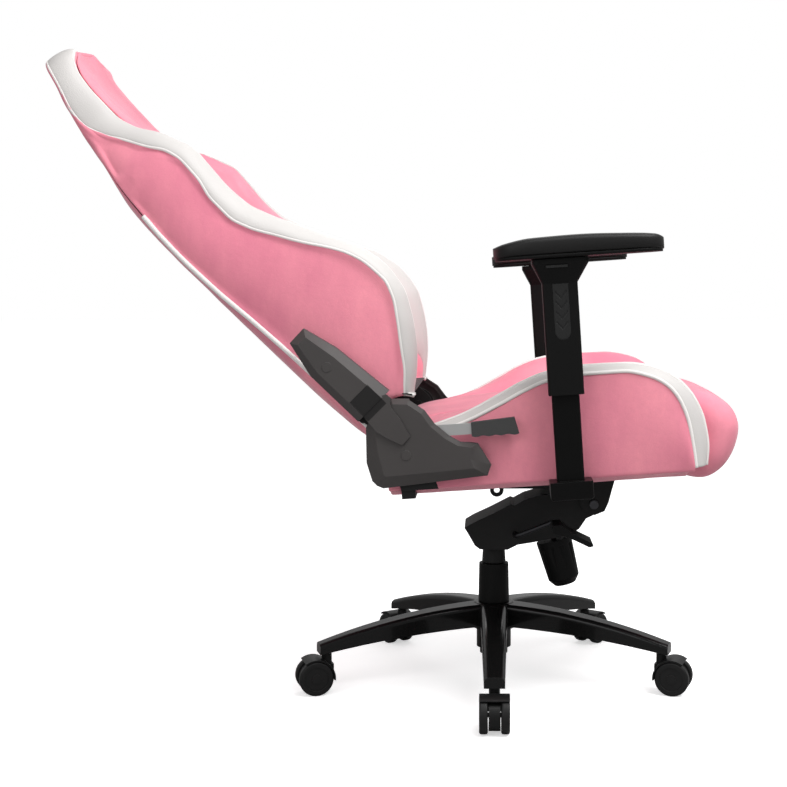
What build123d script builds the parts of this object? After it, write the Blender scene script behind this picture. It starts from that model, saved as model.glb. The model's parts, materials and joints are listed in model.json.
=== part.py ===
from build123d import *
from math import cos, radians, sin
import os

# Gaming chair, reclined. Millimetres and degrees.
# X forward, Y to the sitter's left, Z up. Origin: floor under the gas lift's axis.

# ---------------------------------------------------------------- clearances
slide_gap = 0.3          # between sliding or soft faces
pin_gap = 0.05           # radial, a pin or shaft that turns in its bore
seat_gap = 0.02          # radial, a pin pressed into its own housing

# ---------------------------------------------------------------- star base
arm_count = 5
first_arm_angle = -90    # one arm points to the sitter's right
stem_circle_r = 308      # lift axis to caster stem axis
hub_r = 38
hub_top = 142
hub_floor = 60
hub_boss_wall = 6
arm_root_top = 141
arm_root_bottom = 101
arm_mid_top = 125
arm_mid_bottom = 92
arm_tip_top = 88
arm_tip_bottom = 70
arm_root_width = 50
arm_tip_width = 34
arm_wall = 4
tip_boss_r = 14
socket_depth = 17

# ---------------------------------------------------------------- casters
wheel_r = 30
wheel_width = 14
wheel_spacing = 21       # between the two wheels' inner faces
wheel_trail = 22         # stem axis to axle
axle_r = 4
stem_r = 5.5
hood_thickness = 2.5
hood_clearance = 1
web_width = 19
web_r = 25
stem_boss_r = 11

# ---------------------------------------------------------------- gas lift
column_r = 25
column_bottom = 48
column_top = 205
column_wall = 2
cover_top = 212
cover_bottom_r = 27.8
cover_top_r = 26.4
cylinder_r = 14
cylinder_wall = 2
cylinder_bottom = 76
cylinder_top = 240
rod_r = 5
piston_height = 168
lift_stroke = 80
release_pin_r = 3
release_pin_length = 32
release_pin_up = 16      # how far the pin stands above the cylinder

# ---------------------------------------------------------------- tilt mechanism
housing_half_width = 52
sheet_steel = 2.5
socket_bottom = 214
socket_bottom_r = 21.4
socket_top_r = 19.5
socket_top = 244
tilt_pivot = (176, 326)
tilt_pin_r = 5
lever_rod_r = 4
lever_axis = (38, 272)
lever_end = (104, 306)
lever_reach = 150        # paddle's inner face, from the middle
paddle_width = 60
cam_half_width = 12
knob_top_centre = (108, 255)
knob_tilt = 15
knob_top_r = 32
knob_low_r = 28
knob_end_r = 19
knob_length = 84
knob_grooves = 10
tension_bolt_r = 5
tension_bolt_length = 72
spring_wire_r = 2.6
spring_r = 15
spring_turns = 6

# ---------------------------------------------------------------- seat, in its own tilted frame
seat_tilt = 3.8          # front edge up
seat_height = 388.5      # height of the side panels' lower edge over the lift axis
seat_rear = -172
seat_front = 352         # front of the side bolsters
roll_front = 412         # front of the seat's rolled edge
seat_half_width = 266
cushion_half_width = 163
roll_half_width = 205
roll_corner_r = 40
crest_height = 181
rail = 22                # square tube of the seat frame
rail_bottom = -12
side_rail_y = 191
plate_rail_y = 68
rail_rear = -150
rail_front = 300
strap_thickness = 2
strap_width = 50
plate_thickness = 3
plate_rear = -36
plate_front = 214
plate_half_width = 88
cheek_inner_y = 56
cheek_thickness = 3
eye_centre = (2.6, -37)
eye_r = 12
eye_hole_r = 5
seat_bolt_r = 4
seat_bolt_x = (10, 170)

# ---------------------------------------------------------------- armrests, in the seat's frame
arm_y = 301
post_x = (99.5, 143.5)
post_thickness = 21
post_top = 268
bar_top = -12.2
bar_thickness = 10
bar_inner_y = 95
shoe_x = (88, 156)
shoe_z = (-24, 5)
shoe_y = (273, 324)
sleeve_x = (95, 151)
sleeve_thickness = 36
sleeve_bottom = 142
flare_bottom = 318
head_top = 356
head_length = 89
head_width = 66
button_x = (111, 136)
button_z = (230, 317)
button_thickness = 3.7
button_travel = 2.5
tab_size = (34, 7, 4)
tab_travel = 2
turntable_r = 27
turntable_thickness = 5
carriage = (56, 40, 4)
pad_travel = 30
pad_x = (22, 290)
pad_width = 92
pad_thickness = 35

# ---------------------------------------------------------------- recliner
recline_pivot = (-148, 478)
back_recline = 45        # from upright
recliner_pin_r = 7
back_plate_y = 267.5
seat_plate_y = 273
plate_overlap = 8        # how far the lower plate reaches down over the cross rail
recliner_plate = 4.5
lever_plate_y = 280
lever_plate = 4
lever_length = 104
grip_start = 111
grip_length = 76
grip_thickness = 14
cover_inner_y = 279
cover_face_y = 295.5
cover_wall = 2.5
lower_bevel = 12         # depth of the bevels round the lower cover
upper_bevel = 14
plug_r = 8
swing_r = 54             # clear radius round the pivot, kept by the backrest's lower edge
cap_y = 301              # outer face of the upper cover

# ---------------------------------------------------------------- backrest, upright in its own frame
back_height = 880
back_half_width = 252
panel_half_width = 150
head_panel_half_width = 92
back_tube_r = 9
back_tube_y = 184
back_tube_x = -42
back_tube_top = 560
cross_tube = (-30, 58)
shell = 3                # wall of the rear cover
cushion_rear_gap = 28    # from the rear cover's outside to the cushion's back

SEAT = Location((0, 0, seat_height)) * Rotation(0, -seat_tilt, 0)
BACK = Location((recline_pivot[0], 0, recline_pivot[1])) * Rotation(0, -back_recline, 0)


# ---------------------------------------------------------------- helpers
def block(x, y, z):
    """Box between two limits on each axis."""
    centre = [sum(limits) / 2 for limits in (x, y, z)]
    size = [abs(limits[1] - limits[0]) for limits in (x, y, z)]
    return Pos(*centre) * Box(*size)


def polygon(points):
    return make_face(Polyline(*points, close=True))


def smooth_face(curve_points, *corners):
    """Face bounded by a smooth curve and by straight runs through the corners."""
    curve = Spline(*curve_points)
    rest = Polyline(curve_points[-1], *corners, curve_points[0])
    return make_face(curve + rest)


def across(face, y_low, y_high):
    """Prism of a side outline (x, z) between two distances along Y."""
    return extrude(Plane.XZ.offset(-y_high) * face, amount=y_high - y_low)


def forward(face, x_low, x_high):
    """Prism of a front outline (y, z) between two distances along X."""
    return extrude(Plane.YZ.offset(x_low) * face, amount=x_high - x_low)


def upward(face, z_low, z_high):
    return extrude(Plane.XY.offset(z_low) * face, amount=z_high - z_low)


def y_rod(radius, x, z, y_low, y_high):
    """Cylinder along Y."""
    return Pos(x, (y_low + y_high) / 2, z) * Rot(90, 0, 0) * Cylinder(radius, y_high - y_low)


def z_rod(radius, z_low, z_high, x=0, y=0):
    return Pos(x, y, (z_low + z_high) / 2) * Cylinder(radius, z_high - z_low)


def mirrored(part):
    return mirror(part, about=Plane.XZ)


def to_seat(point):
    """Seat frame coordinates of a point given as (x, z) in the standing frame."""
    x, z = point[0], point[1] - seat_height
    a = radians(seat_tilt)
    return (x * cos(a) + z * sin(a), -x * sin(a) + z * cos(a))


def save(name, *parts, place=Location()):
    """Write one node; separate pieces stay separate solids."""
    solids = [place * solid for part in parts for solid in part.solids()]
    shape = solids[0] if len(solids) == 1 else Compound(solids)
    export_step(shape, f"parts/{name}.step")


# ---------------------------------------------------------------- base
def arm_solid(inset):
    """One arm of the star along +X, shrunk by a wall where inset is not zero."""
    end = stem_circle_r + tip_boss_r - inset
    root = hub_r - 17
    middle = (root + end) / 2
    top = ThreePointArc((root, arm_root_top - inset), (middle, arm_mid_top - inset),
                        (end, arm_tip_top - inset))
    foot = (end, arm_tip_bottom)
    bottom = ThreePointArc(foot, (middle, arm_mid_bottom), (root, arm_root_bottom))
    side = make_face(top + Line(top @ 1, foot) + bottom + Line(bottom @ 1, top @ 0))
    half_root = arm_root_width / 2 - inset
    half_tip = arm_tip_width / 2 - inset
    plan = polygon([(0, half_root), (end, half_tip), (end, -half_tip), (0, -half_root)])
    solid = across(side, -arm_root_width, arm_root_width) & upward(plan, 0, 2 * hub_top)
    if inset:
        return solid
    rims = solid.edges().filter_by(lambda e: e.center().Z > arm_mid_bottom + 9 and e.length > 100)
    return fillet(rims, 9)


def star_base():
    hollow = arm_solid(arm_wall) - block((stem_circle_r - tip_boss_r, stem_circle_r + 99), (-99, 99), (0, 200))
    hollow = hollow - z_rod(hub_r - 6, 0, 200)
    under = Pos(0, 0, -arm_wall) * hollow + hollow
    arm = arm_solid(0) - under
    socket = z_rod(stem_r + pin_gap, arm_tip_bottom - 1, arm_tip_bottom + socket_depth, stem_circle_r)
    arm = arm - socket
    hub = z_rod(hub_r, arm_root_bottom - 6, hub_top) - z_rod(hub_r - 6, 0, hub_top - 6)
    hub = fillet(hub.edges().group_by(Axis.Z)[-1], 5)
    base = hub + z_rod(column_r + hub_boss_wall, hub_floor, hub_top)
    for turn in arm_angles():
        base = base + Rot(0, 0, turn) * arm
    return base - z_rod(column_r + seat_gap, 0, hub_top + 1)


def arm_angles():
    return [first_arm_angle + 360 / arm_count * i for i in range(arm_count)]


def gas_column():
    tube = z_rod(column_r, column_bottom, column_top)
    tube = tube - z_rod(column_r - column_wall, column_bottom + 4, column_top + 1)
    return tube - z_rod(rod_r + 1, 0, column_bottom + 5)


def column_bearings():
    """Guide bushing round the cylinder, and the thrust bearing under the rod's shoulder."""
    bushing = z_rod(column_r - column_wall - seat_gap, column_top - 70, column_top - 1)
    bushing = bushing - z_rod(cylinder_r + pin_gap, 0, column_top + 1)
    floor = column_bottom + 4 + seat_gap
    races = [z_rod(12, floor + 4 * i, floor + 4 * i + 1.5) - z_rod(rod_r + pin_gap, 0, 200) for i in (0, 1)]
    cage = z_rod(11.5, floor + 1.52, floor + 3.98) - z_rod(rod_r + 1, 0, 200)
    return bushing, races[0], cage, races[1]


def column_cover():
    outer = Pos(0, 0, (hub_top + 1 + cover_top) / 2) * Cone(cover_bottom_r, cover_top_r, cover_top - hub_top - 1)
    bore = z_rod(column_r + slide_gap, 0, column_top + slide_gap)
    return outer - bore - z_rod(cylinder_r + 1, 0, cover_top + 1)


def piston_rod():
    floor = column_bottom + 4 + 5.6
    rod = z_rod(rod_r, column_bottom + 0.5, piston_height + 4)
    shoulder = z_rod(9, floor, floor + 4)
    piston = z_rod(cylinder_r - cylinder_wall - pin_gap, piston_height, piston_height + 8)
    return rod + shoulder + piston


def gas_cylinder():
    tube = z_rod(cylinder_r, cylinder_bottom, cylinder_top)
    tube = tube - z_rod(cylinder_r - cylinder_wall, cylinder_bottom + 10, cylinder_top - 30)
    tube = tube - z_rod(rod_r + pin_gap, 0, cylinder_bottom + 11)
    return tube - z_rod(release_pin_r + pin_gap, cylinder_top - 28, cylinder_top + 1)


def release_pin():
    top = cylinder_top + release_pin_up
    return z_rod(release_pin_r, top - release_pin_length, top)


# ---------------------------------------------------------------- casters, stem axis on local Z, wheels trail to +X
def wheel(side):
    inner = wheel_spacing / 2
    disc = y_rod(wheel_r, wheel_trail, wheel_r, inner, inner + wheel_width)
    disc = fillet(disc.edges(), 3.5)
    disc = disc - y_rod(wheel_r * 0.7, wheel_trail, wheel_r, inner + wheel_width - 2, inner + wheel_width + 1)
    disc = disc + y_rod(axle_r + 4, wheel_trail, wheel_r, inner + 2, inner + wheel_width - 0.6)
    disc = disc - y_rod(axle_r + pin_gap, wheel_trail, wheel_r, inner - 1, inner + wheel_width - 4)
    return disc if side > 0 else mirrored(disc)


def caster_housing():
    width = wheel_spacing / 2 + wheel_width
    outer_r = wheel_r + hood_clearance + hood_thickness
    hood = y_rod(outer_r, wheel_trail, wheel_r, -width, width)
    hood = hood - y_rod(wheel_r + hood_clearance, wheel_trail, wheel_r, -width - 1, width + 1)
    reach = outer_r * 1.5
    sector = [(wheel_trail, wheel_r), (wheel_trail + reach * cos(radians(55)), wheel_r + reach * sin(radians(55))),
              (wheel_trail - 5, wheel_r + reach), (wheel_trail - reach, wheel_r + reach),
              (wheel_trail - reach, wheel_r - 6)]
    hood = hood & across(polygon(sector), -width, width)
    web = y_rod(web_r, wheel_trail, wheel_r, -web_width / 2, web_width / 2)
    neck = block((-stem_boss_r, wheel_trail), (-web_width / 2, web_width / 2), (wheel_r - 4, wheel_r + 22))
    boss_top = arm_tip_bottom - 1
    boss = z_rod(stem_boss_r - 2, wheel_r, boss_top)
    body = hood + web + neck + boss
    body = body - y_rod(axle_r + seat_gap, wheel_trail, wheel_r, -99, 99)
    return body - z_rod(stem_r + seat_gap, wheel_r + 12, boss_top + 1)


def caster_pins():
    stem = z_rod(stem_r, wheel_r + 12, arm_tip_bottom + socket_depth - 0.5)
    half = wheel_spacing / 2 + wheel_width - 4.5
    return stem, y_rod(axle_r, wheel_trail, wheel_r, -half, half)


# ---------------------------------------------------------------- tilt mechanism, standing frame
def housing_outline():
    """Side outline of the pressed housing, with its nose round the tilt pivot."""
    px, pz = tilt_pivot
    return [(-52, 283), (-47, 275), (-34, 252), (-25, 245), (24, 244), (42, 253), (67, 257), (px - 41, pz - 55),
            (px - 25, pz - 44), (px - 13, pz - 26), (px + 12, pz - 14), (px + 16, pz), (px + 8, pz + 13),
            (px - 26, pz + 17), (84, 342), (54, 333), (36, 323), (30, 325), (-5, 307), (-37, 292)]


def mechanism_housing():
    face = polygon(housing_outline())
    half = housing_half_width
    body = across(face, -half, half)
    body = body - across(offset(face, -sheet_steel), sheet_steel - half, half - sheet_steel)
    cone = Pos(0, 0, (socket_bottom + 246) / 2) * Cone(socket_bottom_r, socket_top_r, 246 - socket_bottom)
    body = body + cone + z_rod(socket_top_r, 245, socket_top + 3)
    body = body - z_rod(cylinder_r + seat_gap, 0, socket_top + 4)
    x, z = lever_axis
    body = body - y_rod(lever_rod_r + 1, x, z, -99, 99)
    body = body - knob_axis() * Pos(0, 0, 30) * Cylinder(tension_bolt_r + 1.5, 50)
    window = block((-20, 20), (-22, 22), (socket_top + 3.1, 262))
    body = body - window
    return body - y_rod(tilt_pin_r + seat_gap, *tilt_pivot, -99, 99)


def tilt_pin():
    half = cheek_inner_y + cheek_thickness
    pin = y_rod(tilt_pin_r, *tilt_pivot, -half - 3, half + 3)
    heads = [y_rod(tilt_pin_r + 3, *tilt_pivot, *sorted((s * (half + 1), s * (half + 4)))) for s in (-1, 1)]
    return pin + heads[0] + heads[1]


def knob_axis():
    """Frame on the knob's axis: its top face at 0, +Z up into the housing."""
    return Location((knob_top_centre[0], 0, knob_top_centre[1])) * Rotation(0, -knob_tilt, 0)


def tension_knob():
    profile = [(0, 0), (knob_top_r, 0), (knob_top_r, -8), (knob_low_r, -knob_length + 12),
               (knob_end_r, -knob_length), (0, -knob_length)]
    knob = revolve(Plane.XZ * polygon(profile), Axis.Z)
    knob = fillet(knob.edges().filter_by(lambda e: e.center().Z < -10 and e.length > 50), 4)
    for i in range(knob_grooves):
        turn = 360 / knob_grooves * i
        knob = knob - Rot(0, 0, turn) * Pos(knob_top_r + 3, 0, -knob_length / 2) * Cylinder(6, knob_length - 20)
    knob = knob - Pos(0, 0, -8) * Cylinder(tension_bolt_r + seat_gap, 20)
    bolt = Pos(0, 0, (tension_bolt_length - 17) / 2) * Cylinder(tension_bolt_r, tension_bolt_length + 17)
    return knob_axis() * knob, knob_axis() * bolt


def tilt_spring():
    height = spring_turns * spring_wire_r * 3
    path = Helix(spring_wire_r * 3, height, spring_r)
    wire = sweep(Plane(path @ 0, z_dir=path % 0) * Circle(spring_wire_r), path=path, is_frenet=True)
    return knob_axis() * Pos(0, 0, 18) * wire


def lever_rod():
    x, z = lever_axis
    ex, ez = lever_end
    points = [(x, 44, z), (x, -76, z), (ex, -118, ez), (ex, -lever_reach - 24, ez)]
    path = FilletPolyline(*points, radius=20)
    rod = sweep(Plane(path @ 0, z_dir=path % 0) * Circle(lever_rod_r), path=path)
    tip = cylinder_top + release_pin_up + 0.6
    cam = [(-5, tip), (5, tip), (x + 4, z - 6), (x + 5, z + 6), (x - 5, z + 6), (-5, tip + 6)]
    return rod + across(polygon(cam), -cam_half_width, cam_half_width)


def lever_paddle():
    ex, ez = lever_end
    side = [(ex - 7, ez - 6), (ex - 7, ez + 7), (ex + 7, ez + 8), (ex + 24, ez - 5), (ex + 59, ez - 22),
            (ex + 61, ez - 27), (ex + 54, ez - 29), (ex + 18, ez - 12)]
    inner = -lever_reach
    paddle = across(polygon(side), inner - paddle_width, inner)
    paddle = fillet(paddle.edges().filter_by(Axis.Y), 1.5)
    return paddle - y_rod(lever_rod_r + seat_gap, ex, ez, inner - 24, inner + 1)


def tilt_lock_slide():
    x, z = lever_axis
    body = block((x - 13, x + 13), (-30, -cam_half_width - 1), (z - 11, z + 11))
    return body - y_rod(lever_rod_r + pin_gap, x, z, -99, 99)


# ---------------------------------------------------------------- seat
def seat_plate():
    x0, x1 = plate_rear, plate_front
    plate = block((x0, x1), (-plate_half_width, plate_half_width), (rail_bottom - plate_thickness, rail_bottom))
    for x in seat_bolt_x:
        for y in (-plate_rail_y, plate_rail_y):
            plate = plate - z_rod(seat_bolt_r + 0.25, -50, 50, x, y)
    px, pz = to_seat(tilt_pivot)
    cheek = polygon([(x0, rail_bottom - 1), (x0, -32), (px - 88, -40), (px - 26, pz + 12), (px - 20, pz - 10),
                     (px, pz - 19), (px + 18, pz - 13), (px + 26, pz + 2), (px + 32, pz + 20),
                     (x1, -24), (x1, rail_bottom - 1)])
    for side in (-1, 1):
        y = sorted((side * cheek_inner_y, side * (cheek_inner_y + cheek_thickness)))
        ear = across(cheek, *y) + y_rod(eye_r, *eye_centre, *y)
        ear = ear - y_rod(eye_hole_r, *eye_centre, -99, 99) - y_rod(tilt_pin_r + pin_gap, px, pz, -99, 99)
        plate = plate + ear
    return plate


def rail_space(gap):
    """The seat frame's tubes, grown by a gap."""
    z = (rail_bottom - gap, rail_bottom + rail + gap)
    half = rail / 2 + gap
    length = (rail_rear - gap, rail_front + gap)
    tubes = [block(length, (y - half, y + half), z)
             for y in (-side_rail_y, -plate_rail_y, plate_rail_y, side_rail_y)]
    reach = seat_plate_y + gap - slide_gap
    tubes.append(block((rail_rear - gap, rail_rear + rail + gap), (-reach, reach), z))
    tubes.append(block((rail_front - rail - gap, rail_front + gap), (-side_rail_y, side_rail_y), z))
    return tubes


def joined(parts):
    whole = parts[0]
    for part in parts[1:]:
        whole = whole + part
    return whole


def seat_frame():
    frame = joined(rail_space(0))
    for x in seat_bolt_x:
        for y in (-plate_rail_y, plate_rail_y):
            frame = frame - z_rod(seat_bolt_r + 0.1, rail_bottom - 1, rail_bottom + rail - 4, x, y)
    return frame


def seat_bolts():
    bolts = []
    under = rail_bottom - plate_thickness - seat_gap
    for x in seat_bolt_x:
        for y in (-plate_rail_y, plate_rail_y):
            head = upward(RegularPolygon(6.5, 6), under - 5.3, under)
            bolts.append(Pos(x, y, 0) * (head + z_rod(seat_bolt_r, under - 1, rail_bottom + rail - 5)))
    return bolts


def strap_space(gap):
    low = rail_bottom + rail + 0.2
    return [block((x - strap_width / 2 - gap, x + strap_width / 2 + gap), (-side_rail_y, side_rail_y),
                  (low - gap, low + strap_thickness + gap)) for x in (-70, 40, 150, 250)]


def cushion_outline():
    """Side outline of the seat cushion with its rolled front edge."""
    low = rail_bottom + rail + strap_thickness + 1
    top = [(seat_rear, 66), (seat_rear + 12, 92), (-120, 110), (0, 121), (130, 126), (260, 125), (seat_front, 118),
           (roll_front - 18, 100), (roll_front, 63), (roll_front - 12, 14), (roll_front - 45, -12)]
    return smooth_face(top, (rail_front + 8, -12), (rail_front + 8, low), (seat_rear, low))


def seat_cushion():
    full = across(cushion_outline(), -roll_half_width, roll_half_width)
    length = 2 * (roll_front - rail_front)
    plan = Pos(roll_front - length / 2, 0) * RectangleRounded(length, 2 * roll_half_width, roll_corner_r)
    wide = upward(plan, -99, 400) & block((rail_front + 20, 999), (-999, 999), (-99, 400))
    narrow = block((-999, rail_front + 21), (-cushion_half_width, cushion_half_width), (-99, 400))
    return full & (wide + narrow)


def bolster_face():
    """Side outline of a seat bolster: low behind, a crest over the thigh, and a steep front."""
    h = crest_height
    x = seat_front
    top = [(seat_rear, 70), (-120, 84), (-43, 106), (18, 134), (98, 170), (190, h), (270, h - 10),
           (x - 22, 122), (x - 2, 67), (x - 3, 12)]
    return smooth_face(top, (x - 16, -2), (seat_rear + 8, -2), (seat_rear, 8))


def seat_bolster():
    """Left bolster: outer face leaning in, inner face sloping from the crest to the cushion."""
    w = seat_half_width
    inner = cushion_half_width + slide_gap
    section = polygon([(w, -3), (w, 20), (w - 14, 190), (w - 40, 190), (inner, 118), (inner, -3)])
    solid = across(bolster_face(), inner, w) & forward(section, -300, 500)
    roll = block((rail_front + 20 - slide_gap, 999), (0, roll_half_width + slide_gap), (-99, 400))
    for space in rail_space(0.5) + strap_space(0.5):
        solid = solid - space
    return solid - roll


def armrest_bar():
    x0, x1 = post_x
    inner_face = arm_y - post_thickness / 2
    bar = block((x0, x1), (bar_inner_y, inner_face - seat_gap), (bar_top - bar_thickness, bar_top))
    return bar - block((x0 + 14, x1 - 14), (130, 190), (-99, 99))


def armrest_post():
    half = post_thickness / 2
    x0, x1 = post_x
    post = block(post_x, (arm_y - half, arm_y + half), (bar_top - bar_thickness, post_top))
    post = fillet(post.edges().filter_by(Axis.Z), 5)
    shoe = block(shoe_x, shoe_y, shoe_z)
    shoe = fillet(shoe.edges().filter_by(Axis.Z) + shoe.edges().group_by(Axis.Z)[0], 4)
    hole = block((x0 - 0.1, x1 + 0.1), (arm_y - half - 0.1, arm_y + half + 0.1), (-99, 99))
    slot = block((x0 - 0.1, x1 + 0.1), (0, arm_y), (bar_top - bar_thickness - 0.1, bar_top + 0.1))
    return post, shoe - hole - slot


# ---------------------------------------------------------------- armrest head
def sleeve():
    x0, x1 = sleeve_x
    xc = (x0 + x1) / 2
    half = sleeve_thickness / 2
    body = block(sleeve_x, (arm_y - half, arm_y + half), (sleeve_bottom, flare_bottom))
    body = fillet(body.edges().filter_by(Axis.Z), 5)
    low = Pos(xc, arm_y, flare_bottom) * RectangleRounded(x1 - x0, sleeve_thickness, 5)
    high = Pos(xc + 2.5, arm_y, head_top - 7) * RectangleRounded(head_length, head_width, 8)
    head = loft([low, high]) + extrude(high, amount=7)
    gap = slide_gap
    post_half = post_thickness / 2 + gap
    bore = block((post_x[0] - gap, post_x[1] + gap), (arm_y - post_half, arm_y + post_half), (0, head_top - 12))
    pocket = z_rod(turntable_r + gap, head_top - turntable_thickness - 0.5, head_top + 1, xc, arm_y)
    button = button_face(gap)
    face = arm_y + half
    recess = across(button, face - button_thickness - button_travel - 0.5, face + 1)
    return body + head - bore - pocket - recess - tab_block(gap, gap + tab_travel)


def button_face(gap):
    """Button outline: square at the top, round at the bottom."""
    x0, x1 = button_x[0] - gap, button_x[1] + gap
    z0, z1 = button_z[0] - gap, button_z[1] + gap
    r = (x1 - x0) / 2
    arc = ThreePointArc((x0, z0 + r), ((x0 + x1) / 2, z0), (x1, z0 + r))
    return make_face(arc + Polyline((x1, z0 + r), (x1, z1), (x0, z1), (x0, z0 + r)))


def armrest_button():
    face = arm_y + sleeve_thickness / 2 - 0.4
    body = across(button_face(0), face - button_thickness, face)
    xc = sum(button_x) / 2
    rise = (button_z[1] - button_z[0]) / 5.5
    for i in range(4):
        z = button_z[1] - 10 - rise * i
        mark = polygon([(xc - 9, z), (xc, z - 11), (xc + 9, z), (xc + 9, z - 4), (xc, z - 15), (xc - 9, z - 4)])
        body = body - across(mark, face - 1.2, face + 1)
    return body


def tab_block(gap, depth):
    """Small lock tab in the head's outer flank, or its pocket with room to press it in."""
    xc = sum(sleeve_x) / 2 - 4
    length, reach, height = tab_size
    outer = arm_y + head_width / 2
    z = head_top - 12
    return block((xc - length / 2 - gap, xc + length / 2 + gap), (outer - reach - depth, outer + gap),
                 (z - height / 2 - gap, z + height / 2 + gap))


def armrest_tab():
    return tab_block(0, 0)


def turntable():
    xc = sum(sleeve_x) / 2
    disc = z_rod(turntable_r, head_top - turntable_thickness, head_top - 0.1, xc, arm_y)
    return disc - z_rod(4, 0, 999, xc, arm_y)


def pad_carriage():
    xc = sum(sleeve_x) / 2
    low = head_top + 0.4
    return Pos(xc, arm_y, low + carriage[2] / 2) * Box(*carriage)


def armrest_pad():
    xc = sum(sleeve_x) / 2
    x0, x1 = pad_x
    low, high = head_top + 1, head_top + 1 + pad_thickness
    side = smooth_face([(x0 + 3, high - 12), (x0 + 60, high - 1.5), ((x0 + x1) / 2, high), (x1 - 3, high - 9)],
                       (x1, low + 8), (x1 - 10, low), (x0 + 10, low), (x0, low + 8))
    plan = Pos((x0 + x1) / 2, arm_y) * RectangleRounded(x1 - x0, pad_width, 28)
    pad = across(side, arm_y - 99, arm_y + 99) & upward(plan, 0, 500)
    half_x = carriage[0] / 2 + pad_travel + slide_gap
    half_y = carriage[1] / 2 + slide_gap
    channel = block((xc - half_x, xc + half_x), (arm_y - half_y, arm_y + half_y),
                    (low - 1, head_top + 0.4 + carriage[2] + slide_gap))
    return pad - channel


# ---------------------------------------------------------------- recliner and its covers
def recliner_lower():
    """Left plate on the seat frame, with the recliner's pivot pin."""
    px, pz = to_seat(recline_pivot)
    y0, y1 = seat_plate_y, seat_plate_y + recliner_plate
    foot = rail_bottom + rail - plate_overlap
    leg = polygon([(px - 26, pz), (rail_rear, foot), (rail_rear + 60, foot), (px + 26, pz)])
    plate = across(leg, y0, y1) + y_rod(30, px, pz, y0, y1)
    plate = plate - y_rod(recliner_pin_r + seat_gap, px, pz, 0, 999)
    pin = y_rod(recliner_pin_r, px, pz, back_plate_y - 1, lever_plate_y + lever_plate + 1)
    return plate, pin


def recliner_upper():
    """Left plate on the back frame."""
    y0, y1 = back_plate_y, back_plate_y + recliner_plate
    arm = polygon([(-26, 0), (-36, 60), (-36, 170), (16, 170), (26, 0)])
    plate = across(arm, y0, y1) + y_rod(26, 0, 0, y0, y1)
    return plate - y_rod(recliner_pin_r + pin_gap, 0, 0, 0, 999)


def lower_cover_outline():
    """Shield round the pivot: round top, long toe to the front, flat foot."""
    px, pz = to_seat(recline_pivot)
    return [(px - 57, pz + 9), (px - 42, pz + 36), (px - 14, pz + 53), (px + 16, pz + 51), (px + 40, pz + 33),
            (px + 55, pz + 10), (px + 76, pz - 10), (px + 97, pz - 23), (px + 120, pz - 27), (px + 139, pz - 63),
            (px + 132, pz - 80), (px - 36, pz - 90), (px - 46, pz - 85), (px - 53, pz - 77), (px - 60, pz - 47)]


def lower_cover_face():
    """Flat face inside the lower cover's bevels, a corner for each corner of the outline."""
    px, pz = to_seat(recline_pivot)
    return [(px - 42, pz + 6), (px - 33, pz + 30), (px - 11, pz + 45), (px + 12, pz + 43), (px + 33, pz + 27),
            (px + 47, pz + 5), (px + 68, pz - 15), (px + 88, pz - 28), (px + 110, pz - 32), (px + 106, pz - 50),
            (px + 112, pz - 66), (px - 28, pz - 70), (px - 32, pz - 69), (px - 33, pz - 66), (px - 40, pz - 30)]


def bevelled_shell(outline, flat, y_low, y_face, bevel):
    """Cover open at its inner side, with bevels from its outline up to its flat face."""
    y_edge = y_face - bevel
    edge, top = polygon(outline), polygon(flat)
    bevels = loft([Plane.XZ.offset(-y_edge) * edge, Plane.XZ.offset(-y_face) * top], ruled=True)
    shell_in = across(top, y_low - 1, y_face - cover_wall)
    shell_low = across(offset(edge, -cover_wall), y_low - 1, y_edge - 1)
    return across(edge, y_low, y_edge) + bevels - shell_in - shell_low


def lower_cover(lever_slot):
    px, pz = to_seat(recline_pivot)
    cover = bevelled_shell(lower_cover_outline(), lower_cover_face(), cover_inner_y, cover_face_y, lower_bevel)
    if lever_slot:
        sweep_area = polygon([(px, pz - 14), (px + 160, pz - 30), (px + 160, pz + 100), (px + 20, pz + 70)])
        cover = cover - across(sweep_area, cover_inner_y - 1, lever_plate_y + lever_plate + 2)
    hole = y_rod(plug_r, px + 5, pz - 38, cover_face_y - 1.5, 999)
    plug = y_rod(plug_r - seat_gap, px + 5, pz - 38, cover_face_y - 1.5 + seat_gap, cover_face_y + 1)
    return cover - hole, plug


def upper_cover():
    """Left cover of the back's recliner plate: a hollow arm and a thin shield over the lower cover."""
    far, near = 226, swing_r + 6
    outline = [(-38, near), (-40, 165), (-26, far - 1), (6, far), (21, 168), (32, near)]
    flat = [(-25, near), (-27, 160), (-18, far - 13), (0, far - 13), (9, 160), (17, near)]
    arm = bevelled_shell(outline, flat, back_plate_y + 7, cap_y, upper_bevel)
    shield = polygon([(-24, near + 6), (-26, 49), (-28, 28), (-23, 8), (-14, -16), (5, -15), (14, 18), (16, 38),
                      (20, 45), (27, 49), (26, near - 1), (14, near + 6)])
    arm = arm + across(shield, cover_face_y + 1.2, cap_y - 1.5)
    insert_face = polygon([(-24, near + 2), (-24, 91), (15, 91), (16, near + 2)])
    pocket = across(offset(insert_face, 0.1), cap_y - 1, cap_y + 1)
    insert = across(insert_face, cap_y - 1 + seat_gap, cap_y - 0.3)
    hole = y_rod(plug_r, -10, 156, cap_y - 1.5, 999)
    plug = y_rod(plug_r - seat_gap, -10, 156, cap_y - 1.5 + seat_gap, cap_y + 0.6)
    return arm - pocket - hole, insert, plug


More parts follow.
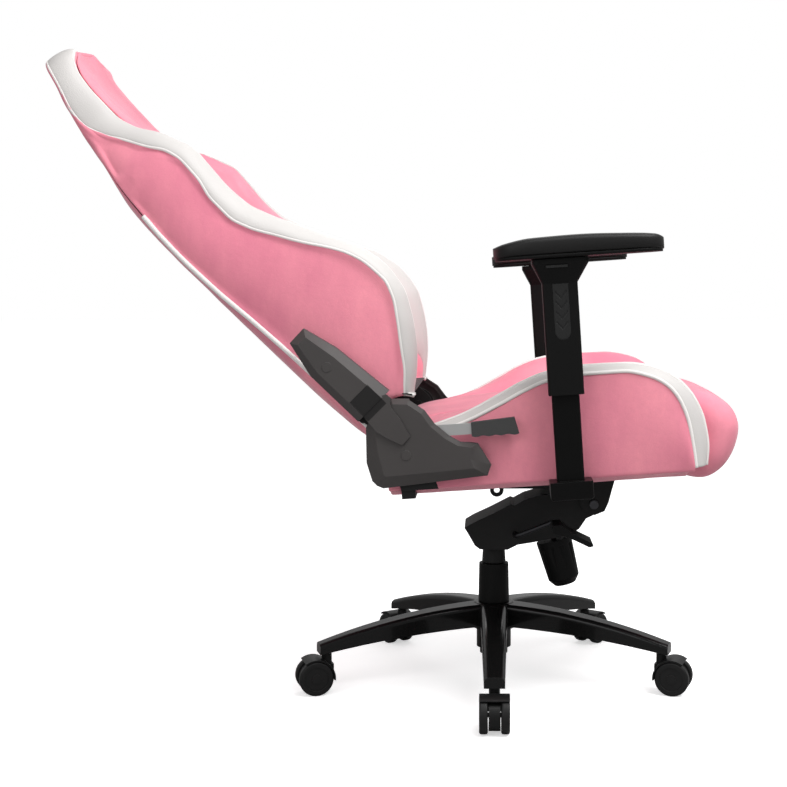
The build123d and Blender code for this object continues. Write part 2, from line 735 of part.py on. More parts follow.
def recline_lever():
    """Hub ring, black bracket and steel strap of the right-hand recline lever."""
    px, pz = to_seat(recline_pivot)
    y0, y1 = -lever_plate_y - lever_plate, -lever_plate_y
    ring = y_rod(17, px, pz, y0, y1)
    strap = block((px, px + lever_length + 70), (y0, y1), (pz - 12, pz + 6))
    return ring + strap - y_rod(recliner_pin_r + pin_gap, px, pz, -999, 999)


def recline_grip():
    px, pz = to_seat(recline_pivot)
    x0, x1 = px + grip_start, px + grip_start + grip_length
    y = -lever_plate_y - lever_plate / 2
    waves = [(x0 + grip_length * i / 8, pz - 15 - 1.5 * (i % 2)) for i in range(9)]
    top = [(x1 - 6, pz + 11), (x0, pz + 7)]
    grip = across(make_face(Spline(*waves) + Polyline(waves[-1], *top, waves[0])),
                  y - grip_thickness / 2, y + grip_thickness / 2)
    core = block((x0 - 1, px + lever_length + 70.2), (y - lever_plate / 2 - 0.1, y + lever_plate / 2 + 0.1),
                 (pz - 12.1, pz + 6.1))
    return grip - core


# ---------------------------------------------------------------- backrest
def up(z):
    """Height on the backrest, given for a back 880 mm tall."""
    return z * back_height / 880


def wing_curve():
    """Front edge of the side panels, from the lower edge to the top of the head."""
    points = [(44, 18), (92, 60), (150, 140), (165, 205), (138, 298), (90, 398), (72, 480), (77, 570),
              (56, 636), (25, 700), (22, 790), (40, 866)]
    return [(x, up(z)) for x, z in points]


def rear_curve(inset):
    points = [(-3, 862), (-20, 800), (-44, 715), (-56, 620), (-67, 540), (-68, 400), (-66, 150), (-54, 30)]
    return [(x + inset, up(z)) for x, z in points]


def seam_curve(inset):
    """Where the rear cover meets the side panels."""
    points = [(-36, 18), (-43, 200), (-55, 400), (-56, 540), (-44, 640), (-28, 720), (-4, 800), (14, 862)]
    return [(x + inset, up(z)) for x, z in points]


def panel_curve():
    """Front of the centre panel and headrest."""
    points = [(22, 18), (58, 60), (88, 130), (95, 210), (70, 330), (38, 450), (22, 560), (24, 640),
              (36, 700), (44, 780), (40, 850)]
    return [(x, up(z)) for x, z in points]


def back_front_face(inset):
    """Front outline of the backrest: lumbar, waist, shoulders and narrow head."""
    k = back_half_width / 252
    right = [(240, 0), (250, 80), (252, 210), (246, 400), (240, 540), (226, 600), (200, 648), (168, 705),
             (150, 770), (142, 835), (112, 872), (0, 882)]
    curve = [(y * k - inset, up(z)) for y, z in right[:-1]] + [(0, up(882) - inset)]
    far = [(-y, z) for y, z in reversed(curve[:-1])]
    return make_face(Spline(*curve, *far) + Line(far[-1], curve[0]))


def panel_front_face(grow):
    """Front outline of the centre panel."""
    w, h = panel_half_width + grow, head_panel_half_width + grow
    top = up(852) + grow
    side = [(w, -60), (w, up(590)), (h, up(705)), (h - 8, top - 20), (h - 34, top)]
    return polygon(side + [(-y, z) for y, z in reversed(side)])


def pivot_space():
    return y_rod(swing_r, 0, 0, -999, 999) + block((-200, 200), (-999, 999), (-200, 8))


def loop_face(front, rear):
    """Side outline between a front curve going up and a rear curve going down."""
    a, b = Spline(*front), Spline(*rear)
    return make_face(a + Line(front[-1], rear[0]) + b + Line(rear[-1], front[0]))


def back_paths():
    """Centre lines of the main loop and of the head loop."""
    y, top, x = back_tube_y, up(back_tube_top), back_tube_x
    main = FilletPolyline((x, y, up(40)), (x, y, top), (x, -y, top), (x, -y, up(40)), radius=60)
    head = FilletPolyline((x, 80, top), (18, 60, up(785)), (18, -60, up(785)), (x, -80, top), radius=40)
    return main, head


def back_tubes(radius):
    tubes = [sweep(Plane(path @ 0, z_dir=path % 0) * Circle(radius), path=path) for path in back_paths()]
    reach = back_plate_y - slide_gap
    tubes.append(y_rod(radius, *cross_tube, -reach, reach))
    return tubes


def back_straps(gap):
    x = back_tube_x - back_tube_r - 1
    return [block((x - strap_thickness - gap, x + gap), (-190, 190), (up(z) - 22 - gap, up(z) + 22 + gap))
            for z in (110, 215, 320)]


def without(solid, spaces):
    for space in spaces:
        solid = solid - space
    return solid


def back_cushion():
    solid = across(loop_face(panel_curve(), rear_curve(cushion_rear_gap)), -300, 300)
    solid = solid & forward(panel_front_face(0), -200, 300)
    return without(solid - pivot_space(), back_tubes(back_tube_r + 0.5))


def back_bolster():
    """Left half of the shell round the centre panel: bolster, wing and side of the head."""
    outer = across(loop_face(wing_curve(), list(reversed(seam_curve(slide_gap)))), -300, 300)
    ring = outer & forward(back_front_face(0), -200, 300)
    ring = ring - forward(panel_front_face(slide_gap), -200, 300) - pivot_space()
    ring = without(ring, back_tubes(back_tube_r + 0.5) + back_straps(0.5))
    return ring & block((-300, 400), (0.5, 400), (-100, 1200))


def back_rear_cover():
    outer = across(loop_face(seam_curve(-slide_gap), rear_curve(0)), -300, 300)
    tray = outer & forward(back_front_face(0), -200, 300)
    inner = across(loop_face(seam_curve(30), rear_curve(shell)), -300, 300)
    tray = tray - (inner & forward(back_front_face(shell), -200, 300)) - pivot_space()
    return without(tray, back_tubes(back_tube_r + 0.5) + back_straps(0.5))


# ---------------------------------------------------------------- write the nodes
os.makedirs("parts", exist_ok=True)

save("star_base", star_base())
save("gas_column", gas_column())
save("column_cover", column_cover())
save("column_bearings", *column_bearings())
save("piston_rod", piston_rod())
save("gas_cylinder", gas_cylinder())
save("release_pin", release_pin())

for number, turn in enumerate(arm_angles(), start=1):
    spot = Rotation(0, 0, turn) * Location((stem_circle_r, 0, 0))
    save(f"caster_{number}_yoke", caster_housing(), *caster_pins(), place=spot)
    save(f"caster_{number}_wheels", wheel(1), wheel(-1), place=spot)

save("mechanism_housing", mechanism_housing())
save("tilt_pin", tilt_pin())
save("tilt_spring", tilt_spring())
save("tension_knob", *tension_knob())
save("lever_rod", lever_rod())
save("lever_paddle", lever_paddle())
save("tilt_lock_slide", tilt_lock_slide())

save("seat_plate", seat_plate(), place=SEAT)
save("seat_frame", seat_frame(), place=SEAT)
save("seat_bolts", *seat_bolts(), place=SEAT)
save("seat_webbing", *strap_space(0), place=SEAT)
save("seat_cushion", seat_cushion(), place=SEAT)
save("seat_bolster_left", seat_bolster(), place=SEAT)
save("seat_bolster_right", mirrored(seat_bolster()), place=SEAT)
save("armrest_bars", armrest_bar(), mirrored(armrest_bar()), place=SEAT)

for side in ("left", "right"):
    turned = (lambda part: part) if side == "left" else mirrored
    save(f"armrest_{side}_post", *[turned(part) for part in armrest_post()], place=SEAT)
    save(f"armrest_{side}_sleeve", turned(sleeve()), place=SEAT)
    save(f"armrest_{side}_button", turned(armrest_button()), place=SEAT)
    save(f"armrest_{side}_tab", turned(armrest_tab()), place=SEAT)
    save(f"armrest_{side}_turntable", turned(turntable()), place=SEAT)
    save(f"armrest_{side}_carriage", turned(pad_carriage()), place=SEAT)
    save(f"armrest_{side}_pad", turned(armrest_pad()), place=SEAT)
    save(f"side_cover_lower_{side}", *[turned(part) for part in lower_cover(side == "right")], place=SEAT)
    save(f"side_cover_upper_{side}", *[turned(part) for part in upper_cover()], place=BACK)

save("recliner_lower_plates", *recliner_lower(), *[mirrored(part) for part in recliner_lower()], place=SEAT)
save("recliner_upper_plates", recliner_upper(), mirrored(recliner_upper()), place=BACK)
save("recline_lever", recline_lever(), place=SEAT)
save("recline_grip", recline_grip(), place=SEAT)

save("back_frame", joined(back_tubes(back_tube_r)), place=BACK)
save("back_webbing", *back_straps(0), place=BACK)
save("back_cushion", back_cushion(), place=BACK)
save("back_bolster_left", back_bolster(), place=BACK)
save("back_bolster_right", mirrored(back_bolster()), place=BACK)
save("back_rear_cover", back_rear_cover(), place=BACK)
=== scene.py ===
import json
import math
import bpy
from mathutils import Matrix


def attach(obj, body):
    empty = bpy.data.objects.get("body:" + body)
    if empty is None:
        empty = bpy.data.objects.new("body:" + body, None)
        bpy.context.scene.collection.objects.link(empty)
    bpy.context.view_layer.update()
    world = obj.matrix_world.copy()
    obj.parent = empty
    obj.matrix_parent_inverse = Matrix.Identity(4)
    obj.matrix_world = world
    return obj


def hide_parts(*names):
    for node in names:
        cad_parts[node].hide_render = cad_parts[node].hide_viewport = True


bl_info = {
    "name": "Reclining gaming chair",
    "version": (1, 0, 0),
    "blender": (4, 5, 0),
    "location": "View3D > Sidebar > Chair",
    "description": "Upholstery, trim, armrest pads and finishes of a reclining gaming chair on its CAD frame",
    "category": "Object",
}

import bmesh
import bpy
from bpy.props import FloatProperty, FloatVectorProperty, PointerProperty
from mathutils import Matrix, Vector, noise

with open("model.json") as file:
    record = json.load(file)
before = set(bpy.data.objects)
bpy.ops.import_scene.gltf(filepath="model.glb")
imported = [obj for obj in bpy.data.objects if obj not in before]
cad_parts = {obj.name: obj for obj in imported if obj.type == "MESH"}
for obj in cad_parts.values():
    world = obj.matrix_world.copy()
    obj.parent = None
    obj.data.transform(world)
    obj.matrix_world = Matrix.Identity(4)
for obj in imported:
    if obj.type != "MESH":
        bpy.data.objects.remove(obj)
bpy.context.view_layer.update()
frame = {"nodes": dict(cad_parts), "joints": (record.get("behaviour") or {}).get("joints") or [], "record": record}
MM = 0.001
SIM_FRAMES = 20             # steps of the cloth solver for each panel
SIDES = (("left", 1), ("right", -1))
STITCH_OFFSET = 0.004       # rows of stitches beside a seam


# ---------------------------------------------------------------- frames of the seat and the back
def joint_position(name):
    return Vector(next(j["pos_m"] for j in frame["joints"] if j["name"] == name))


SEAT_HEIGHT = 388.5         # mm, lower edge of the seat's side panels over the lift's axis
SEAT_TILT = math.radians(3.8)
BACK_RECLINE = math.radians(45)
SEAT = Matrix.Translation((0, 0, SEAT_HEIGHT * MM)) @ Matrix.Rotation(-SEAT_TILT, 4, "Y")
BACK = Matrix.Translation(joint_position("recline")) @ Matrix.Rotation(-BACK_RECLINE, 4, "Y")
PIVOT_CLEARANCE = 56        # mm kept free round the recline pivot


def on_seat(x, y, z):
    """Point of the seat's own frame, given in millimetres."""
    return SEAT @ (Vector((x, y, z)) * MM)


def on_back(y, up, forward):
    """Point of the backrest's own frame, kept clear of the recline pivot."""
    reach = math.hypot(up, forward)
    if reach < PIVOT_CLEARANCE:
        up, forward = (c * PIVOT_CLEARANCE / max(reach, 1) for c in (up, forward))
    return BACK @ (Vector((forward, y, up)) * MM)


# ---------------------------------------------------------------- curves
def smooth_step(low, high, value):
    """0 below low, 1 above high, and a smooth rise between."""
    t = min(max((value - low) / (high - low), 0), 1)
    return t * t * (3 - 2 * t)


def profile(table, x):
    """Value at x of a smooth curve through (x, value) points, without overshoot."""
    if x <= table[0][0]:
        return table[0][1]
    if x >= table[-1][0]:
        return table[-1][1]
    slopes = [(b[1] - a[1]) / (b[0] - a[0]) for a, b in zip(table, table[1:])]
    tangents = [slopes[0]]
    for left, right in zip(slopes, slopes[1:]):
        tangents.append(0 if left * right <= 0 else 2 * left * right / (left + right))
    tangents.append(slopes[-1])
    k = next(i for i in range(len(slopes)) if x <= table[i + 1][0])
    (x0, y0), (x1, y1) = table[k], table[k + 1]
    width = x1 - x0
    t = (x - x0) / width
    rise = (2 * t ** 3 - 3 * t * t + 1) * y0 + (3 * t * t - 2 * t ** 3) * y1
    return rise + width * ((t ** 3 - 2 * t * t + t) * tangents[k] + (t ** 3 - t * t) * tangents[k + 1])


def through(points, count):
    """Evenly spaced points on a smooth curve through the given points."""
    steps_per_span = 24
    spans = []
    ends = [2 * points[0] - points[1], *points, 2 * points[-1] - points[-2]]
    for a, b, c, d in zip(ends, ends[1:], ends[2:], ends[3:]):
        for step in range(steps_per_span):
            t = step / steps_per_span
            spans.append(0.5 * (2 * b + (c - a) * t + (2 * a - 5 * b + 4 * c - d) * t * t
                                + (3 * b - a - 3 * c + d) * t ** 3))
    spans.append(points[-1])
    return resampled(spans, count)


def resampled(points, count):
    """Points at even distances along a line of points."""
    lengths = [0]
    for a, b in zip(points, points[1:]):
        lengths.append(lengths[-1] + (b - a).length)
    result, k = [], 0
    for i in range(count):
        target = lengths[-1] * i / (count - 1)
        while k < len(points) - 2 and lengths[k + 1] < target:
            k += 1
        span = max(lengths[k + 1] - lengths[k], 1e-9)
        result.append(points[k].lerp(points[k + 1], min(max((target - lengths[k]) / span, 0), 1)))
    return result


def stations(table, count):
    """Rows of a table of stations, spread smoothly to a larger number of rows."""
    keys = list(range(len(table)))
    rows = []
    for i in range(count):
        at = (len(table) - 1) * i / (count - 1)
        rows.append([profile([(k, table[k][column]) for k in keys], at) for column in range(len(table[0]))])
    return rows


def bezier(a, b, c, d, count):
    """Points along a cubic from a to d, with handles b and c."""
    points = []
    for i in range(count):
        t = i / (count - 1)
        points.append(a * (1 - t) ** 3 + b * 3 * t * (1 - t) ** 2 + c * 3 * t * t * (1 - t) + d * t ** 3)
    return points


# ---------------------------------------------------------------- mesh pieces
def new_piece(name, vertices, faces, material):
    """Smooth-shaded mesh object with one material."""
    mesh = bpy.data.meshes.new(name)
    mesh.from_pydata(vertices, [], faces)
    mesh.update()
    piece = bpy.data.objects.new(name, mesh)
    bpy.context.scene.collection.objects.link(piece)
    mesh.materials.append(bpy.data.materials[material])
    mesh.polygons.foreach_set("use_smooth", [True] * len(mesh.polygons))
    return piece


def sheet_faces(rows, columns, flipped=False):
    """Quads of a grid of points, row after row."""
    faces = []
    for i in range(rows - 1):
        for j in range(columns - 1):
            corner, above = i * columns + j, (i + 1) * columns + j
            quad = (corner, corner + 1, above + 1, above)
            faces.append(quad[::-1] if flipped else quad)
    return faces


def fabric_panel(name, grid, material, seam_rows=(), seam_columns=(), flipped=False):
    """Panel of fabric from a grid of points, sewn down along its four edges and the given seams."""
    rows, columns = len(grid), len(grid[0])
    piece = new_piece(name, [p for row in grid for p in row], sheet_faces(rows, columns, flipped), material)
    sewn = piece.vertex_groups.new(name="sewn")
    fixed_rows = {0, rows - 1, *seam_rows}
    fixed_columns = {0, columns - 1, *seam_columns}
    sewn.add([i * columns + j for i in range(rows) for j in range(columns)
              if i in fixed_rows or j in fixed_columns], 1.0, "REPLACE")
    return piece


def settle(piece):
    """Apply every modifier to the mesh."""
    evaluated = piece.evaluated_get(bpy.context.evaluated_depsgraph_get())
    mesh = bpy.data.meshes.new_from_object(evaluated)
    piece.modifiers.clear()
    piece.data = mesh


def stuff(piece, pressure, limit, stiffness=12.0):
    """Blow the panel up against its seams with the cloth solver, then hold it to a largest movement."""
    start = [v.co.copy() for v in piece.data.vertices]
    cloth = piece.modifiers.new("Padding", "CLOTH")
    settings = cloth.settings
    settings.quality = 4
    settings.mass = 0.25
    settings.tension_stiffness = settings.compression_stiffness = stiffness
    settings.shear_stiffness = stiffness / 2
    settings.bending_stiffness = 0.4
    settings.use_pressure = True
    settings.uniform_pressure_force = pressure
    settings.vertex_group_mass = "sewn"
    settings.effector_weights.gravity = 0
    cloth.collision_settings.use_collision = False
    cloth.point_cache.frame_start, cloth.point_cache.frame_end = 1, SIM_FRAMES
    for step in range(1, SIM_FRAMES + 1):
        bpy.context.scene.frame_set(step)
    settle(piece)
    bpy.context.scene.frame_set(1)
    for vertex, old in zip(piece.data.vertices, start):
        move = vertex.co - old
        if move.length > limit:
            vertex.co = old + move * (limit / move.length)


def pucker(piece, columns, depth, reach=6, length=0.024, seed=0.0):
    """Small gathers that run off the sewn edges of a panel and fade within a few rows of stitches."""
    mesh = piece.data
    normals = [n.vector.copy() for n in mesh.vertex_normals]
    rows = len(mesh.vertices) // columns
    for index, vertex in enumerate(mesh.vertices):
        i, j = divmod(index, columns)
        near = min(i, j, rows - 1 - i, columns - 1 - j)
        fade = max(0.0, 1 - near / reach) * min(near, 1)
        swell = noise.noise(vertex.co / length + Vector((seed, seed, seed)))
        broad = noise.noise(vertex.co / (4 * length) + Vector((seed, 3.1, seed)))
        vertex.co += normals[index] * (depth * fade * swell + 0.7 * depth * broad * min(near / reach, 1))
    mesh.update()


def thicken(piece, thickness, subdivisions=1):
    """Give a panel its thickness, inwards, and round it off."""
    solid = piece.modifiers.new("Thickness", "SOLIDIFY")
    solid.thickness = thickness
    solid.offset = -1
    settle(piece)
    if subdivisions:
        subdivide = piece.modifiers.new("Round", "SUBSURF")
        subdivide.levels = subdivide.render_levels = subdivisions
        settle(piece)


def tube(name, points, radius, material, sides=10):
    """Closed tube along a line of points, for the piping in a seam."""
    vertices, faces = [], []
    normal = Vector((0, 0, 1))
    for k, point in enumerate(points):
        tangent = (points[min(k + 1, len(points) - 1)] - points[max(k - 1, 0)]).normalized()
        normal = (normal - tangent * normal.dot(tangent)).normalized()
        binormal = tangent.cross(normal)
        for s in range(sides):
            turn = 2 * math.pi * s / sides
            vertices.append(point + (normal * math.cos(turn) + binormal * math.sin(turn)) * radius)
    for k in range(len(points) - 1):
        for s in range(sides):
            n = (s + 1) % sides
            faces.append((k * sides + s, k * sides + n, (k + 1) * sides + n, (k + 1) * sides + s))
    faces.append(tuple(range(sides - 1, -1, -1)))
    faces.append(tuple(range((len(points) - 1) * sides, len(points) * sides)))
    return new_piece(name, vertices, faces, material)


def stitches(name, points, out, pitch, material):
    """Row of short raised stitches along a line of points, on a surface that faces out."""
    run = sum((b - a).length for a, b in zip(points, points[1:]))
    spots = resampled(points, max(int(run / pitch), 3))
    vertices, faces = [], []
    radius, half, sides = 0.0006, pitch * 0.32, 6
    for k in range(1, len(spots) - 1):
        along = (spots[k + 1] - spots[k - 1]).normalized()
        across = along.cross(out).normalized()
        base = len(vertices)
        for end, swell in ((-half, 0.3), (-half * 0.6, 1), (half * 0.6, 1), (half, 0.3)):
            for s in range(sides):
                turn = 2 * math.pi * s / sides
                away = across * math.cos(turn) + out * math.sin(turn)
                vertices.append(spots[k] + along * end + away * radius * swell)
        for ring in range(3):
            for s in range(sides):
                n = (s + 1) % sides
                a, b = base + ring * sides, base + (ring + 1) * sides
                faces.append((a + s, a + n, b + n, b + s))
        faces.append(tuple(base + s for s in range(sides - 1, -1, -1)))
        faces.append(tuple(base + 3 * sides + s for s in range(sides)))
    return new_piece(name, vertices, faces, material)


def finish_piece(piece, body, nodes=()):
    """Attach a piece to the body it rides on and hide the CAD nodes it stands for."""
    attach(piece, body)
    if nodes:
        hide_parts(*nodes)
    return piece


# ---------------------------------------------------------------- shader groups
def new_group(name, inputs, outputs):
    """Empty shader group with named sockets, and its input and output nodes."""
    group = bpy.data.node_groups.new(name, "ShaderNodeTree")
    for label, kind, value in inputs:
        socket = group.interface.new_socket(name=label, in_out="INPUT", socket_type=kind)
        socket.default_value = value
    for label, kind in outputs:
        group.interface.new_socket(name=label, in_out="OUTPUT", socket_type=kind)
    return group, group.nodes.new("NodeGroupInput"), group.nodes.new("NodeGroupOutput")


def shader_math(tree, operation, a, b):
    node = tree.nodes.new("ShaderNodeMath")
    node.operation = operation
    for socket, value in zip(node.inputs, (a, b)):
        if isinstance(value, (int, float)):
            socket.default_value = value
        else:
            tree.links.new(value, socket)
    return node.outputs[0]


def noise_node(tree, scale, detail=2.0, roughness=0.5, source=None):
    node = tree.nodes.new("ShaderNodeTexNoise")
    node.inputs["Detail"].default_value = detail
    node.inputs["Roughness"].default_value = roughness
    if isinstance(scale, (int, float)):
        node.inputs["Scale"].default_value = scale
    else:
        tree.links.new(scale, node.inputs["Scale"])
    if source is not None:
        tree.links.new(source, node.inputs["Vector"])
    return node.outputs["Fac"]


def build_pile_group():
    """Short pile of velour: brushed patches, and the height of its nap."""
    group, given, result = new_group(
        "pile", [("Patch Scale", "NodeSocketFloat", 9.0), ("Nap Scale", "NodeSocketFloat", 900.0)],
        [("Brushed", "NodeSocketFloat"), ("Height", "NodeSocketFloat")])
    place = group.nodes.new("ShaderNodeTexCoord").outputs["Object"]
    stretch = group.nodes.new("ShaderNodeMapping")
    stretch.inputs["Scale"].default_value = (1.0, 1.0, 0.45)
    group.links.new(place, stretch.inputs["Vector"])
    patches = noise_node(group, given.outputs["Patch Scale"], 4.0, 0.6, stretch.outputs["Vector"])
    nap = noise_node(group, given.outputs["Nap Scale"], 2.0, 0.6, place)
    mottle = noise_node(group, 140.0, 3.0, 0.6, place)
    brushed = group.nodes.new("ShaderNodeMapRange")
    brushed.inputs["From Min"].default_value = 0.32
    brushed.inputs["From Max"].default_value = 0.68
    group.links.new(patches, brushed.inputs["Value"])
    height = shader_math(group, "ADD", shader_math(group, "MULTIPLY", nap, 0.5),
                         shader_math(group, "MULTIPLY", mottle, 0.5))
    group.links.new(brushed.outputs["Result"], result.inputs["Brushed"])
    group.links.new(height, result.inputs["Height"])


def build_grain_group():
    """Cell grain of coated leather or moulded plastic, with slow creases."""
    group, given, result = new_group(
        "grain", [("Cell Scale", "NodeSocketFloat", 700.0), ("Crease Scale", "NodeSocketFloat", 30.0),
                  ("Crease Share", "NodeSocketFloat", 0.3)],
        [("Height", "NodeSocketFloat"), ("Cloud", "NodeSocketFloat")])
    place = group.nodes.new("ShaderNodeTexCoord").outputs["Object"]
    cells = group.nodes.new("ShaderNodeTexVoronoi")
    cells.feature = "SMOOTH_F1"
    cells.inputs["Smoothness"].default_value = 0.4
    group.links.new(place, cells.inputs["Vector"])
    group.links.new(given.outputs["Cell Scale"], cells.inputs["Scale"])
    creases = noise_node(group, given.outputs["Crease Scale"], 5.0, 0.65, place)
    height = shader_math(group, "ADD", cells.outputs["Distance"],
                         shader_math(group, "MULTIPLY", creases, given.outputs["Crease Share"]))
    group.links.new(height, result.inputs["Height"])
    group.links.new(noise_node(group, 7.0, 3.0, 0.6, place), result.inputs["Cloud"])


def build_wear_group():
    """Mask of rubbed edges, broken up by small scratches."""
    group, given, result = new_group(
        "rubbed_edges", [("Width", "NodeSocketFloat", 0.0015), ("Amount", "NodeSocketFloat", 0.5)],
        [("Mask", "NodeSocketFloat"), ("Normal", "NodeSocketVector")])
    bevel = group.nodes.new("ShaderNodeBevel")
    bevel.samples = 4
    group.links.new(given.outputs["Width"], bevel.inputs["Radius"])
    surface = group.nodes.new("ShaderNodeNewGeometry")
    facing = group.nodes.new("ShaderNodeVectorMath")
    facing.operation = "DOT_PRODUCT"
    group.links.new(bevel.outputs["Normal"], facing.inputs[0])
    group.links.new(surface.outputs["Normal"], facing.inputs[1])
    edge = shader_math(group, "MULTIPLY", shader_math(group, "SUBTRACT", 1.0, facing.outputs["Value"]), 4.0)
    place = group.nodes.new("ShaderNodeTexCoord").outputs["Object"]
    broken = shader_math(group, "MULTIPLY", edge, noise_node(group, 160.0, 4.0, 0.7, place))
    mask = shader_math(group, "MULTIPLY", broken, given.outputs["Amount"])
    group.links.new(shader_math(group, "MINIMUM", mask, 1.0), result.inputs["Mask"])
    group.links.new(bevel.outputs["Normal"], result.inputs["Normal"])


def build_weave_group():
    """Over-and-under threads of webbing and lining."""
    group, given, result = new_group(
        "weave", [("Threads", "NodeSocketFloat", 500.0)],
        [("Height", "NodeSocketFloat"), ("Shade", "NodeSocketFloat")])
    place = group.nodes.new("ShaderNodeTexCoord").outputs["Object"]
    waves = []
    for direction in ("X", "Y"):
        wave = group.nodes.new("ShaderNodeTexWave")
        wave.bands_direction = direction
        wave.inputs["Distortion"].default_value = 0.6
        group.links.new(place, wave.inputs["Vector"])
        group.links.new(given.outputs["Threads"], wave.inputs["Scale"])
        waves.append(wave.outputs["Fac"])
    group.links.new(shader_math(group, "MAXIMUM", *waves), result.inputs["Height"])
    group.links.new(noise_node(group, 60.0, 3.0, 0.6, place), result.inputs["Shade"])


# ---------------------------------------------------------------- materials
def shaded(name, roughness, **constants):
    """New material with its Principled shader, its constant sockets set."""
    material = bpy.data.materials.new(name)
    material.use_nodes = True
    shader = material.node_tree.nodes["Principled BSDF"]
    shader.inputs["Roughness"].default_value = roughness
    for socket, value in constants.items():
        shader.inputs[socket.replace("_", " ")].default_value = value
    return material.node_tree, shader


def use_group(tree, name, **values):
    node = tree.nodes.new("ShaderNodeGroup")
    node.node_tree = bpy.data.node_groups[name]
    for socket, value in values.items():
        node.inputs[socket.replace("_", " ")].default_value = value
    return node


def blend_colours(tree, mask, low, high):
    """Colour between two, by a mask. Either colour may be a socket."""
    mix = tree.nodes.new("ShaderNodeMix")
    mix.data_type = "RGBA"
    tree.links.new(mask, mix.inputs["Factor"])
    for socket, colour in ((mix.inputs[6], low), (mix.inputs[7], high)):
        if isinstance(colour, bpy.types.NodeSocket):
            tree.links.new(colour, socket)
        else:
            socket.default_value = (*colour, 1)
    return mix.outputs[2]


def spread(tree, mask, low, high):
    """Map a mask from 0..1 to a smaller range."""
    node = tree.nodes.new("ShaderNodeMapRange")
    node.inputs["To Min"].default_value = low
    node.inputs["To Max"].default_value = high
    tree.links.new(mask, node.inputs["Value"])
    return node.outputs["Result"]


def bumped(tree, shader, height, depth, strength, normal=None):
    """Feed the shader's normal from a height map, over the given normal if there is one."""
    bump = tree.nodes.new("ShaderNodeBump")
    bump.inputs["Distance"].default_value = depth
    bump.inputs["Strength"].default_value = strength
    tree.links.new(height, bump.inputs["Height"])
    if normal is not None:
        tree.links.new(normal, bump.inputs["Normal"])
    tree.links.new(bump.outputs["Normal"], shader.inputs["Normal"])


def scaled(colour, factor):
    return tuple(min(c * factor, 1.0) for c in colour)


def velour(name, colour):
    """Brushed velour: lighter where the pile lies with the hand, darker against it; this range is widened into
    painted mottled shade, and the low spots of the nap are painted darker as shade.
    """
    tree, shader = shaded(name, 0.86, Sheen_Weight=0.5, Sheen_Roughness=0.35,
                          Sheen_Tint=(1.0, 0.84, 0.88, 1.0), Specular_IOR_Level=0.25)
    pile = use_group(tree, "pile", Patch_Scale=7.0, Nap_Scale=1100.0)
    # Brushed marks and painted shade: the darker tints, and the wide range up to 1.1 times the colour, also stand
    # for the mottled shade on the sides.
    against = tuple(c * share for c, share in zip(colour, (0.8, 0.66, 0.78)))
    brushed = blend_colours(tree, pile.outputs["Brushed"], against, scaled(colour, 1.1))
    # Painted shade: down to 0.68 times the colour in the low spots of the nap and its mottle.
    nap_painted_shade = blend_colours(tree, pile.outputs["Height"], scaled(colour, 0.68), brushed)
    mix = tree.nodes.new("ShaderNodeMix")
    mix.data_type = "RGBA"
    mix.inputs["Factor"].default_value = 0.6
    tree.links.new(brushed, mix.inputs[6])
    tree.links.new(nap_painted_shade, mix.inputs[7])
    tree.links.new(mix.outputs[2], shader.inputs["Base Color"])
    tree.links.new(spread(tree, pile.outputs["Brushed"], 0.92, 0.78), shader.inputs["Roughness"])
    bumped(tree, shader, pile.outputs["Height"], 0.0012, 0.6)


def coated_leather(name, colour, roughness=0.5, cell_scale=650.0):
    """Coated leather with its cell grain, fine creases and cloudy gloss."""
    tree, shader = shaded(name, roughness, Specular_IOR_Level=0.4)
    grain = use_group(tree, "grain", Cell_Scale=cell_scale, Crease_Scale=24.0, Crease_Share=0.8)
    clouds = blend_colours(tree, grain.outputs["Cloud"], scaled(colour, 0.93), scaled(colour, 1.05))
    tree.links.new(clouds, shader.inputs["Base Color"])
    tree.links.new(spread(tree, grain.outputs["Cloud"], roughness + 0.08, roughness - 0.08),
                   shader.inputs["Roughness"])
    bumped(tree, shader, grain.outputs["Height"], 0.0006, 0.5)


def moulded(name, colour, roughness, edge, cell_scale=1500.0, depth=0.0002, **constants):
    """Moulded plastic, rubber or painted metal: fine grain, cloudy gloss and rubbed edges."""
    tree, shader = shaded(name, roughness, **constants)
    grain = use_group(tree, "grain", Cell_Scale=cell_scale, Crease_Scale=60.0, Crease_Share=0.3)
    wear = use_group(tree, "rubbed_edges", Width=0.0012, Amount=edge)
    clouds = blend_colours(tree, grain.outputs["Cloud"], scaled(colour, 0.85), scaled(colour, 1.12))
    rubbed = blend_colours(tree, wear.outputs["Mask"], clouds, tuple(c + 0.12 for c in colour))
    tree.links.new(rubbed, shader.inputs["Base Color"])
    tree.links.new(spread(tree, grain.outputs["Cloud"], roughness + 0.06, roughness - 0.06),
                   shader.inputs["Roughness"])
    bumped(tree, shader, grain.outputs["Height"], depth, 0.4, wear.outputs["Normal"])


# Painted shade on the recessed facet of the back's side covers: axis of the backrest's frame, middle and half
# length along it, in mm.
SHADED_FACET = (((0, 0, 1), 70, 21), ((1, 0, 0), -4.5, 20.5))


def paint_facet_shade(name, colour):
    """Paint shade on the recessed facet of the back's side covers, found by its place on the backrest."""
    tree = bpy.data.materials[name].node_tree
    shader = tree.nodes["Principled BSDF"]
    usual = shader.inputs["Base Color"].links[0].from_socket
    place = tree.nodes.new("ShaderNodeTexCoord").outputs["Object"]
    masks = []
    for axis, middle, reach in SHADED_FACET:
        along = tree.nodes.new("ShaderNodeVectorMath")
        along.operation = "DOT_PRODUCT"
        direction = BACK.to_3x3() @ Vector(axis)
        along.inputs[1].default_value = direction
        tree.links.new(place, along.inputs[0])
        centre = direction.dot(BACK.translation) + middle * MM
        masks.append(shader_math(tree, "COMPARE", along.outputs["Value"], centre))
        masks[-1].node.inputs[2].default_value = reach * MM
    inside = shader_math(tree, "MULTIPLY", *masks)
    tree.links.new(blend_colours(tree, inside, usual, colour), shader.inputs["Base Color"])


